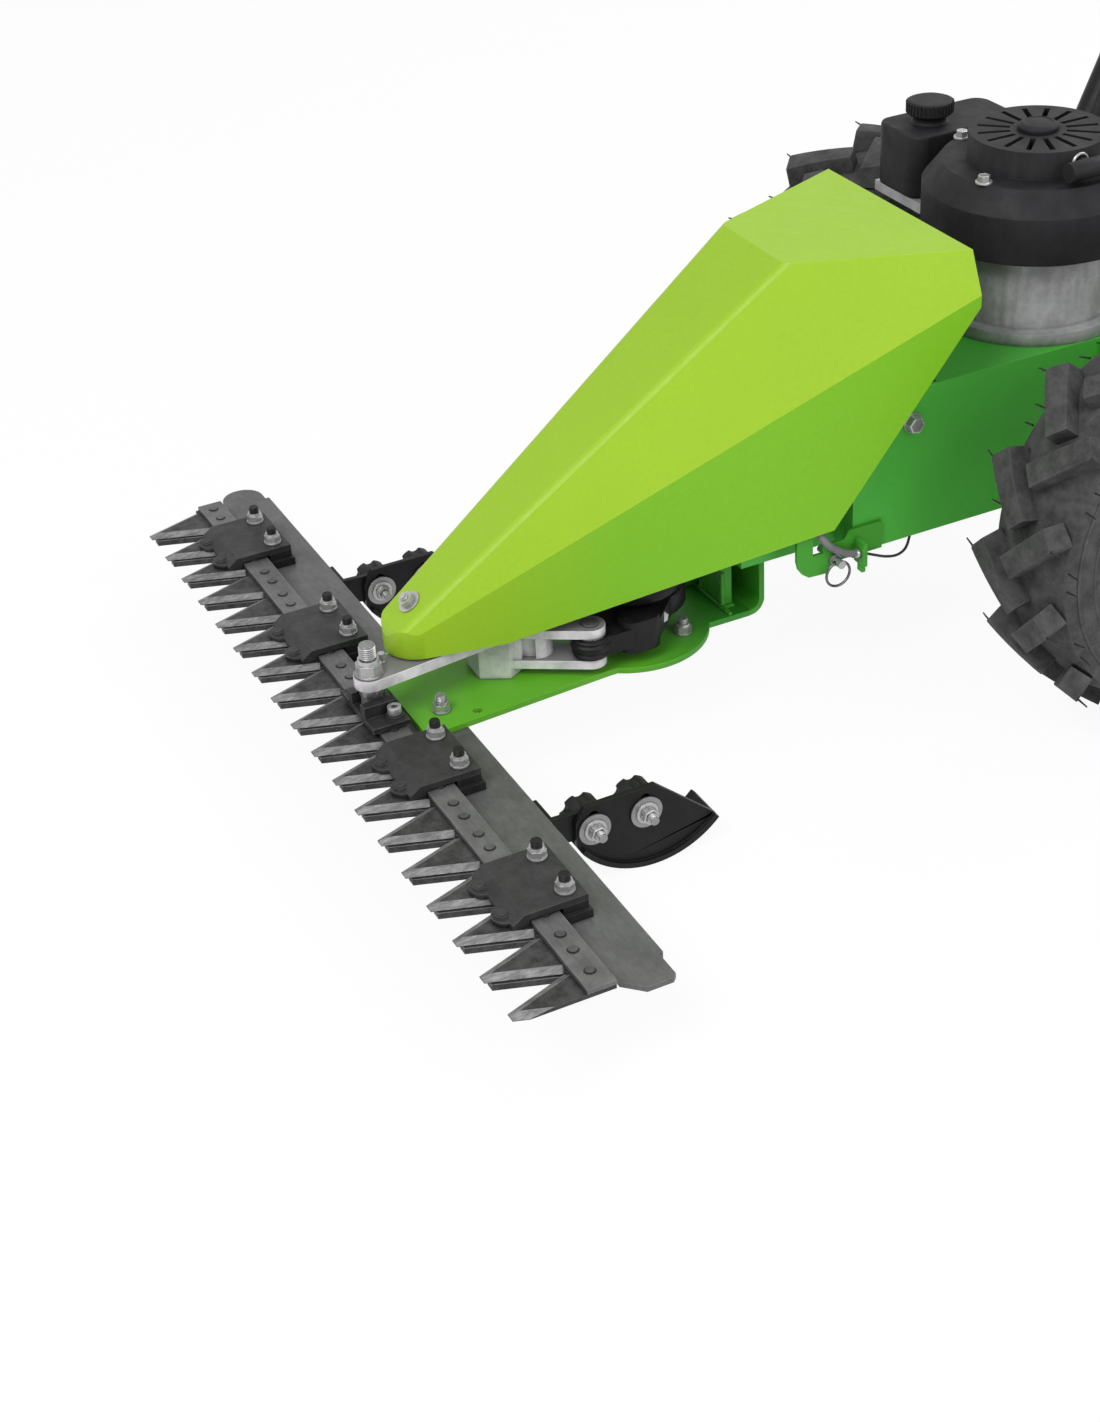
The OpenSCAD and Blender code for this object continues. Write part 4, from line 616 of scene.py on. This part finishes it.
def modelThread(v, shape):
    # one three-cornered ridge, wound up the shank by Screw
    clearSelection()
    bpy.ops.mesh.primitive_circle_add(vertices=3, radius=0.001)
    thread = bpy.context.active_object
    startEdit(thread, "VERT")
    root, crest = v["radius"] - shape["sunk"], v["radius"] + v["depth"]
    half = shape["flank"] * v["pitch"]
    corners = iter(((root, -half), (crest, 0), (root, half)))

    def corner(place):
        out, up = next(corners)
        return Vector((out, 0, up)) / 1000

    moveVerts(thread, corner)
    bpy.ops.object.mode_set(mode="OBJECT")
    screw = thread.modifiers.new("turns", "SCREW")
    screw.axis = "Z"
    screw.screw_offset = v["pitch"] / 1000
    screw.iterations = v["turns"]
    screw.steps = screw.render_steps = shape["steps"]
    useModifiers(thread)
    startEdit(thread, "EDGE")
    bpy.ops.mesh.select_all(action="SELECT")
    bpy.ops.mesh.fill_holes(sides=4)
    closeMesh()
    return thread


for name, v in threadSet.items():
    turns = [standing(at(*spot), v["along"], dice.uniform(0, 360)) for spot in v["spots"]]
    thread = copyTo(modelThread(v, threadShape), turns)
    keepPiece(thread, name, v["body"], v["slot"])
print("threads cut,", len(threadSet), "kinds")


# weld runs where the coupling's posts and wall stand on the deck
weldRuns = {
    "radius": 3.0, "step": 3.2, "swell": (0.9, 1.12), "valley": 0.72, "tip": 0.45, "wander": 0.0004,
    "runs": [((-36, 433.5, 84.5), (36, 433.5, 84.5)), ((21, 433, 84.5), (21, 446, 84.5)),
             ((-21, 433, 84.5), (-21, 446, 84.5)), ((11, 441, 84.5), (-11, 441, 84.5)),
             ((20.5, 433, 86), (20.5, 433, 124)), ((-20.5, 433, 86), (-20.5, 433, 124))],
}


def modelBead(start, end, v):
    # ripples of a hand-laid weld between two places
    line = end - start
    rows = 2 * max(3, round(line.length * 1000 / v["step"]))
    bead = barrel(10, v["radius"], line.length * 1000, rows - 1)
    sizes = [dice.uniform(*v["swell"]) * (v["valley"] if i % 2 else 1.0) for i in range(rows + 1)]
    sizes[0] = sizes[-1] = v["tip"]
    drift = [dice.uniform(-v["wander"], v["wander"]) for i in range(rows + 1)]

    def swell(place):
        row = round((place.z / line.length + 0.5) * rows)
        return Vector((place.x * sizes[row] + drift[row], place.y * sizes[row], place.z))

    moveVerts(bead, swell)
    closeMesh()
    rounding = bead.modifiers.new("round", "SUBSURF")
    rounding.levels = rounding.render_levels = 1
    useModifiers(bead)
    return copyTo(bead, [standing((start + end) / 2, line)])


def addWelds(v):
    beads = [modelBead(at(*a), at(*b), v) for a, b in v["runs"]]
    keepPiece(joinAll(beads), "couplingWelds", "frame", "deck_green", bracketPaint, angle=60)


addWelds(weldRuns)
print("welds laid,", len(weldRuns["runs"]), "runs")


# far cheek that closes the coupling's side, a bent plate welded to the deck's edge
cheekPlate = {"x": (-37.0, -33.0), "outline": ((416, 83.8), (470, 83.8), (470, 149), (437, 149)), "edge": 0.8}


def addCheek(v):
    clearSelection()
    bpy.ops.mesh.primitive_cube_add(size=2)
    cheek = bpy.context.active_object
    startEdit(cheek, "VERT")
    corners = {(-1, -1): 0, (1, -1): 1, (1, 1): 2, (-1, 1): 3}

    def corner(place):
        y, z = v["outline"][corners[(round(place.y), round(place.z))]]
        return at(v["x"][0 if place.x < 0 else 1], y, z)

    moveVerts(cheek, corner)
    bpy.ops.object.mode_set(mode="OBJECT")
    roundEdges(cheek, v["edge"])
    keepPiece(cheek, "couplingCheek", "frame", "deck_green", bracketPaint)


addCheek(cheekPlate)
print("coupling cheek in")


# flanged hexagon bolts, modelled once for each size
boltSet = {
    "rodBolt": {"flange": 8, "across": 11, "head": 16, "body": "rod", "slot": "zinc",
                "spots": [((35, 351, 114), (1, 0.05, 0.1))]},
    "armNipple": {"flange": 4.2, "across": 6.5, "head": 7, "body": "rocker", "slot": "zinc",
                  "spots": [((12.4, 87.5, 132), (0, 0, 1))]},
    "noseBoltEnd": {"flange": 3.9, "across": 6, "head": 2, "body": "frame", "slot": "zinc",
                    "spots": [((0, 119.6, 182.2), (0, -0.589, 0.808))]},
    "cowlBolts": {"flange": 8, "across": 10, "head": 5, "body": "frame", "slot": "zinc",
                  "spots": [((84 * math.cos(a), axleY + 84 * math.sin(a), 453), (0, 0, 1))
                            for a in (math.radians(20 + 90 * i) for i in range(4))]},
    "gearboxBolts": {"flange": 9, "across": 13, "head": 7, "body": "frame", "slot": "zinc",
                     "spots": [((s * chassisSide, axleY + 38 * math.cos(a), axleZ + 38 * math.sin(a)),
                                (s, 0, 0))
                               for s in (-1, 1) for a in (math.radians(30 + 60 * i) for i in range(6))]},
    "hingeBolts": {"flange": 13, "across": 17, "head": 9, "body": "handle", "slot": "zinc",
                   "spots": [((s * 142, 905, 330), (s, 0, 0)) for s in (-1, 1)]},
    "skidNuts": {"flange": 10.5, "across": 13.4, "head": 6.8, "body": "frame", "slot": "zinc",
                 "spots": [((x, y, 56), (1, 0, 0)) for x in (242.2, -227.8) for y in (181, 231)]},
    "rearBolts": {"flange": 8, "across": 11, "head": 6, "body": "frame", "slot": "zinc",
                  "spots": [((x, 890, z), (0, 1, 0)) for x in (-80, 80) for z in (168, 286)]},
    "leverScrews": {"flange": 5, "across": 7, "head": 2.5, "body": "handle", "slot": "zinc",
                    "spots": [((s * 254.3, 1310, 848), (s, 0, 0)) for s in (-1, 1)]},
    "sideBolts": {"flange": 10, "across": 14, "head": 6.6, "body": "frame", "slot": "zinc",
                  "spots": [((s * chassisSide, 592, 270), (s, 0, 0)) for s in (-1, 1)]},
}


# flange and head, in mm; chamfer and dish are shares of the width across flats, in and up
boltShape = {"flange": 2.0, "edge": 0.7, "sunk": 0.1, "chamfer": (0.08, 0.04), "dish": (0.12, -0.03)}


def modelBolt(v, shape):
    thick = shape["flange"] / 1000
    foot = (shape["flange"] - shape["sunk"]) / 1000
    high, across = v["head"] / 1000, v["across"] / 1000
    clearSelection()
    bpy.ops.mesh.primitive_cylinder_add(vertices=24, radius=v["flange"] / 1000, depth=thick,
                                        location=(0, 0, thick / 2))
    bolt = bpy.context.active_object
    settle(bolt)
    startEdit(bolt, "EDGE")
    pick(bolt, "edges", lambda e: min(x.co.z for x in e.verts) > 0.75 * thick)
    bpy.ops.mesh.bevel(offset=shape["edge"] / 1000, segments=2, affect="EDGES")
    bpy.ops.object.mode_set(mode="OBJECT")
    bpy.ops.mesh.primitive_cylinder_add(vertices=6, radius=across / 2 / math.cos(math.pi / 6), depth=high,
                                        location=(0, 0, foot + high / 2))
    head = bpy.context.active_object
    settle(head)
    startEdit(head, "FACE")
    pick(head, "faces", lambda f: f.normal.z > 0.9)
    inward, up = shape["chamfer"]
    bpy.ops.mesh.inset(thickness=across * inward, depth=across * up)
    pick(head, "faces", lambda f: f.normal.z > 0.99 and f.calc_center_median().z > foot + high)
    inward, up = shape["dish"]
    bpy.ops.mesh.inset(thickness=across * inward, depth=across * up)
    bpy.ops.object.mode_set(mode="OBJECT")
    return joinAll([bolt, head])


for name, v in boltSet.items():
    turns = [standing(at(*spot), along, dice.uniform(0, 60)) for spot, along in v["spots"]]
    keepPiece(copyTo(modelBolt(v, boltShape), turns), name, v["body"], v["slot"], angle=25)
print("bolts set,", len(boltSet), "kinds")


# raised rims round the rivet heads, in near-black steel: painted shade of the dark line round each head
rivetSet = {
    "first": -8 * toothPitch, "sections": 18, "apart": 11, "end": 460,
    "y": 73.5, "z": 92.0, "radius": 4.5, "fold": 0.75, "flat": 0.6,
}


def addRivetRings(v):
    middles = [v["first"] + toothPitch * i for i in range(v["sections"])]
    rivetXs = [x + s * v["apart"] for x in middles for s in (-1, 1) if x + s * v["apart"] < v["end"]]
    ring = modelRing(v["radius"], v["fold"], v["flat"], 24, 6)
    rings = copyTo(ring, [Matrix.Translation(at(x, v["y"], v["z"])) for x in rivetXs])
    # near-black finish on the rims: painted shade
    keepPiece(rings, "rivetRings", "knife", "knife_steel", ownFinishes["clip_spacers"])
    print("rivet rings,", len(rivetXs))


addRivetRings(rivetSet)


# rubber-sleeved eye of the rod, between the fork's tines
rodEye = {
    "place": (54, 276), "low": 104.0, "high": 123.0, "radius": 19.0, "edge": 0.6,
    "profile": (0.84, 0.92, 0.97, 0.9, 0.9, 0.99, 1.0, 1.0, 0.99, 0.9, 0.9, 0.96, 0.84),
}


def addRodEye(v):
    eye = modelTurned(56, v["radius"], v["high"] - v["low"], v["profile"])
    roundEdges(eye, v["edge"], 25)
    eye = copyTo(eye, [standing(at(*v["place"], (v["low"] + v["high"]) / 2))])
    keepPiece(eye, "rodEye", "rod", "cast_black")


addRodEye(rodEye)
print("rod eye turned")


# tyre: moulding hairs along the lugs' shoulders and fine rings on the sidewalls
tyreSet = {
    "inner": 200, "half": 52.5, "lugs": 14, "shoulder": 52.2,
    "hairLong": 13, "hairR": 1.1, "hairTaper": 0.35, "hairDroop": 0.8,
    "hairSpots": ((191, -37.5), (170, -10), (170, 8)), "leanBack": (-0.2, 0.05), "leanSide": (-0.15, 0.15),
    "rings": ((126, 45.7), (140, 50.9), (158, 52.4)), "ringR": 1.5, "ringFlat": 0.7,
}


def modelHair(v):
    hair = barrel(6, v["hairR"], v["hairLong"], 3, foot=True)

    def droop(place):
        along = place.z * 1000 / v["hairLong"]
        thin = 1 - v["hairTaper"] * along
        return Vector((place.x * thin + v["hairDroop"] / 1000 * along ** 2, place.y * thin, place.z))

    moveVerts(hair, droop)
    closeMesh()
    return hair


def wheelTurn(v, side):
    # the tyre's own frame, axis along z and centred, put on its axle
    place = at(side * (v["inner"] + v["half"]), axleY, axleZ)
    return Matrix.Translation(place) @ Matrix.Rotation(side * math.pi / 2, 4, "Y")


def addTyreDetail(v, side, body, name):
    wheel = wheelTurn(v, side)
    hairs = []
    for row in range(2):
        flip = -1 if row else 1
        for i in range(v["lugs"]):
            turn = math.radians(-90 + (i + row / 2) * 360 / v["lugs"])
            for out, back in v["hairSpots"]:
                lean = Vector((dice.uniform(*v["leanBack"]), dice.uniform(*v["leanSide"]), flip))
                spot = Vector((out, back, flip * v["shoulder"])) / 1000
                hair = standing(spot, lean, dice.uniform(0, 360))
                hairs.append(wheel @ Matrix.Rotation(turn, 4, "Z") @ hair)
    keepPiece(copyTo(modelHair(v), hairs), name + "Hairs", body, "tyre", finishes["rubber"])
    rings = []
    for radius, height in v["rings"]:
        turns = [wheel @ Matrix.Translation((0, 0, flip * height / 1000)) for flip in (-1, 1)]
        rings.append(copyTo(modelRing(radius, v["ringR"], v["ringFlat"], 96), turns))
    keepPiece(joinAll(rings), name + "Rings", body, "tyre")


addTyreDetail(tyreSet, 1, "left_wheel", "leftTyre")
addTyreDetail(tyreSet, -1, "right_wheel", "rightTyre")
print("tyres detailed")


# soft ribs and a hand guard on each grip
gripSet = {
    "x": 235, "z": 870, "radius": 18.0, "rib": 1.5, "ribFlat": 1.6, "first": 1364, "step": 9.2, "ribs": 12,
    "guardY": 1353, "guardR": 19.0, "guard": 2.6,
}


def addGripRibs(v):
    sides = [s * v["x"] for s in (-1, 1)]
    ribYs = [v["first"] + i * v["step"] for i in range(v["ribs"])]
    ribs = [standing(at(x, y, v["z"]), (0, 1, 0)) for x in sides for y in ribYs]
    guards = [standing(at(x, v["guardY"], v["z"]), (0, 1, 0)) for x in sides]
    rings = [copyTo(modelRing(v["radius"], v["rib"], v["ribFlat"]), ribs),
             copyTo(modelRing(v["guardR"], v["guard"], 1.0), guards)]
    keepPiece(joinAll(rings), "gripRibs", "handle", "rubber")


addGripRibs(gripSet)
print("grips ribbed")


# stepped caps: hub covers and the starter's centre cap
capSet = {
    "leftHubCap": {"radius": 25, "body": "left_wheel", "place": (260, axleY, axleZ), "along": (1, 0, 0)},
    "rightHubCap": {"radius": 25, "body": "right_wheel", "place": (-260, axleY, axleZ), "along": (-1, 0, 0)},
    "starterCap": {"radius": 19, "body": "frame", "place": (0, axleY, 479), "along": (0, 0, 1)},
}
# foot and edge in mm; the steps are shares of the radius, in and up
capShape = {"foot": 4.0, "edge": 0.6,
            "steps": ((0.12, 0.09), (0.14, 0.07), (0.06, -0.05), (0.2, 0.04), (0.2, 0.02))}


def modelCap(radius, shape):
    clearSelection()
    bpy.ops.mesh.primitive_cylinder_add(vertices=48, radius=radius / 1000, depth=shape["foot"] / 1000,
                                        location=(0, 0, shape["foot"] / 2000))
    cap = bpy.context.active_object
    settle(cap)
    startEdit(cap, "FACE")
    pick(cap, "faces", lambda f: f.normal.z > 0.9)
    for inward, up in shape["steps"]:
        bpy.ops.mesh.inset(thickness=radius * inward / 1000, depth=radius * up / 1000)
    bpy.ops.object.mode_set(mode="OBJECT")
    roundEdges(cap, shape["edge"])
    return cap


for name, v in capSet.items():
    cap = copyTo(modelCap(v["radius"], capShape), [standing(at(*v["place"]), v["along"])])
    keepPiece(cap, name, v["body"], "black_plastic", angle=25)
print("caps pressed on,", len(capSet))


# starter rope, paid out of its eye in the cowl as the grip is pulled
starterRope = {
    "radius": 2.2, "sides": 20, "rings": (44.0, 60.0, 66.0, 72.0), "y": axleY, "z": 467,
    "eyeX": 64.2, "eyeR": 7.4, "eyeThick": 1.7, "eyeFlat": 1.1,
}


def addStarterRope(v):
    clearSelection()
    bpy.ops.mesh.primitive_circle_add(vertices=v["sides"], radius=v["radius"] / 1000, fill_type="NGON",
                                      location=at(v["rings"][0], v["y"], v["z"]),
                                      rotation=(0, math.pi / 2, 0))
    rope = bpy.context.active_object
    settle(rope)
    startEdit(rope, "FACE")
    bpy.ops.mesh.select_all(action="SELECT")
    for here, there in zip(v["rings"], v["rings"][1:]):
        bpy.ops.mesh.extrude_region_move(TRANSFORM_OT_translate={"value": ((there - here) / 1000, 0, 0)})
    closeMesh()
    bpy.ops.object.shade_smooth_by_angle(angle=math.radians(40))
    rope.name = rope.data.name = "starterRope"
    rope.data.materials.append(finishes["cable_sheath"])
    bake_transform(rope)
    eye = modelRing(v["eyeR"], v["eyeThick"], v["eyeFlat"])
    eye = copyTo(eye, [standing(at(v["eyeX"], v["y"], v["z"]), (1, 0, 0))])
    keepPiece(eye, "starterEye", "frame", "zinc")


addStarterRope(starterRope)
print("starter rope in its eye")


# knurled band round the fuel cap
fuelCap = {
    "place": (-143, 763, 464.5), "radius": 22.2, "high": 10.5, "ribs": 36,
    "ribInset": 0.3, "ribHigh": 1.1, "rim": 3.0, "dishInset": 1.5, "dishDeep": 1.2,
}


def addFuelCapBand(v):
    clearSelection()
    bpy.ops.mesh.primitive_cylinder_add(vertices=2 * v["ribs"], radius=v["radius"] / 1000,
                                        depth=v["high"] / 1000)
    band = bpy.context.active_object
    startEdit(band, "FACE")
    sector = math.pi / v["ribs"]

    def isRib(face):
        spot = face.calc_center_median()
        return abs(face.normal.z) < 0.1 and int(math.atan2(spot.y, spot.x) // sector) % 2 == 0

    pick(band, "faces", isRib)
    bpy.ops.mesh.inset(thickness=v["ribInset"] / 1000, depth=v["ribHigh"] / 1000, use_individual=True)
    pick(band, "faces", lambda f: f.normal.z > 0.9)
    bpy.ops.mesh.inset(thickness=v["rim"] / 1000, depth=0.0)
    bpy.ops.mesh.inset(thickness=v["dishInset"] / 1000, depth=-v["dishDeep"] / 1000)
    bpy.ops.object.mode_set(mode="OBJECT")
    band = copyTo(band, [standing(at(*v["place"]))])
    keepPiece(band, "fuelCapBand", "frame", "black_plastic", angle=25)


addFuelCapBand(fuelCap)
print("fuel cap knurled")


# slotted guard over the muffler and a ribbed lid on the air filter
guardSet = {
    "mufflerGuard": {"size": (40, 72), "cells": (1, 9), "gap": 1.7, "thick": 1.6, "rise": 0.0, "edge": 0.4,
                     "slot": "bar_steel", "open": True, "place": (78, 912, 378.5), "along": (0, 0, 1)},
    "filterLid": {"size": (66, 40), "cells": (1, 7), "gap": 1.6, "thick": 1.6, "rise": 1.6, "edge": 0.4,
                  "slot": "black_plastic", "open": False, "place": (-98.2, 913, 350), "along": (-1, 0, 0)},
}


def modelGuard(v):
    wide, long = v["size"]
    clearSelection()
    bpy.ops.mesh.primitive_grid_add(x_subdivisions=v["cells"][0], y_subdivisions=v["cells"][1], size=1)
    guard = bpy.context.active_object
    guard.scale = (wide / 1000, long / 1000, 1)
    settle(guard)
    startEdit(guard, "FACE")
    bpy.ops.mesh.select_all(action="SELECT")
    bpy.ops.mesh.inset(thickness=v["gap"] / 1000, depth=v["rise"] / 1000, use_individual=True)
    if v["open"]:
        bpy.ops.mesh.delete(type="FACE")
    bpy.ops.object.mode_set(mode="OBJECT")
    wall = guard.modifiers.new("wall", "SOLIDIFY")
    wall.thickness = v["thick"] / 1000
    wall.offset = 0
    roundEdges(guard, v["edge"])
    return guard


for name, v in guardSet.items():
    guard = copyTo(modelGuard(v), [standing(at(*v["place"]), v["along"])])
    keepPiece(guard, name, "frame", v["slot"], ownFinishes["muffler"] if v["open"] else None, angle=25)
print("guards fitted")


# tyre valves, leaning out of the rims
valveSet = {
    "reach": 93, "side": 266, "long": 24, "radius": 3.2, "lean": -0.35,
    "profile": (1.7, 1.6, 1.25, 1.0, 0.75, 0.75, 1.05, 1.05, 0.85),
}


def addValve(v, side, body, name):
    valve = modelTurned(20, v["radius"], v["long"], v["profile"])
    spot = at(side * v["side"], axleY, axleZ + v["reach"])
    keepPiece(copyTo(valve, [standing(spot, (side, 0, v["lean"]))]), name, body, "rubber")


addValve(valveSet, 1, "left_wheel", "leftValve")
addValve(valveSet, -1, "right_wheel", "rightValve")
print("valves in")


# pale floor and even studio light; the floor stays white behind the object and keeps a faint shadow
stageSet = {
    "floor": 30.0, "floorColour": grey(0.86), "floorRough": 0.9, "white": 0.93,
    "lamps": {
        "keyLamp": ((1.2, -2.6, 3.2), (0, -0.3, 0.2), 2.2, 95),
        "fillLamp": ((3.2, 0.8, 2.2), (0, -0.2, 0.2), 2.6, 50),
        "backLamp": ((-0.9, 2.9, 3.0), (0, -0.2, 0.3), 2.4, 60),
    },
    "sky": 0.5, "skyColour": grey(0.95), "backdrop": grey(0.97),
}


def seenDirectly(tree, most):
    # what the camera, glossy and transmission rays see
    path = tree.nodes.new("ShaderNodeLightPath")
    total = path.outputs["Is Camera Ray"]
    for ray in ("Is Glossy Ray", "Is Transmission Ray"):
        joined = addNode(tree, "ShaderNodeMath", operation="MAXIMUM")
        tree.links.new(total, joined.inputs[0])
        tree.links.new(path.outputs[ray], joined.inputs[1])
        total = joined.outputs[0]
    part = addNode(tree, "ShaderNodeMath", operation="MULTIPLY")
    part.inputs[1].default_value = most
    tree.links.new(total, part.inputs[0])
    return part.outputs[0]


def addFloor(v):
    clearSelection()
    bpy.ops.mesh.primitive_plane_add(size=v["floor"], location=(0, 0, 0))
    floor = bpy.context.active_object
    floor.name = "floor"
    material, tree, shader = startMaterial("floorPale")
    shader.inputs["Base Color"].default_value = v["floorColour"]
    shader.inputs["Roughness"].default_value = v["floorRough"]
    shader.inputs["Specular IOR Level"].default_value = 0.0
    glow = addNode(tree, "ShaderNodeEmission", Strength=1.0)
    blend = tree.nodes.new("ShaderNodeMixShader")
    tree.links.new(seenDirectly(tree, v["white"]), blend.inputs[0])
    tree.links.new(shader.outputs[0], blend.inputs[1])
    tree.links.new(glow.outputs[0], blend.inputs[2])
    tree.links.new(blend.outputs[0], tree.nodes["Material Output"].inputs["Surface"])
    floor.data.materials.append(material)


def addLamp(name, place, target, size, power):
    data = bpy.data.lights.new(name, "AREA")
    data.shape = "DISK"
    data.size = size
    data.energy = power
    lamp = bpy.data.objects.new(name, data)
    lamp.location = place
    lamp.rotation_mode = "QUATERNION"
    lamp.rotation_quaternion = (Vector(target) - Vector(place)).to_track_quat("-Z", "Y")
    scene.collection.objects.link(lamp)


def addSky(v):
    world = bpy.data.worlds.new("studio")
    scene.world = world
    world.use_nodes = True
    tree = world.node_tree
    soft = tree.nodes["Background"]
    soft.inputs["Color"].default_value = v["skyColour"]
    soft.inputs["Strength"].default_value = v["sky"]
    white = addNode(tree, "ShaderNodeBackground", Strength=1.0)
    white.inputs["Color"].default_value = v["backdrop"]
    blend = tree.nodes.new("ShaderNodeMixShader")
    tree.links.new(seenDirectly(tree, 1.0), blend.inputs[0])
    tree.links.new(soft.outputs[0], blend.inputs[1])
    tree.links.new(white.outputs[0], blend.inputs[2])
    tree.links.new(blend.outputs[0], tree.nodes["World Output"].inputs["Surface"])


addFloor(stageSet)
for name, values in stageSet["lamps"].items():
    addLamp(name, *values)
addSky(stageSet)
scene.view_settings.view_transform = "Standard"
print("stage lit")
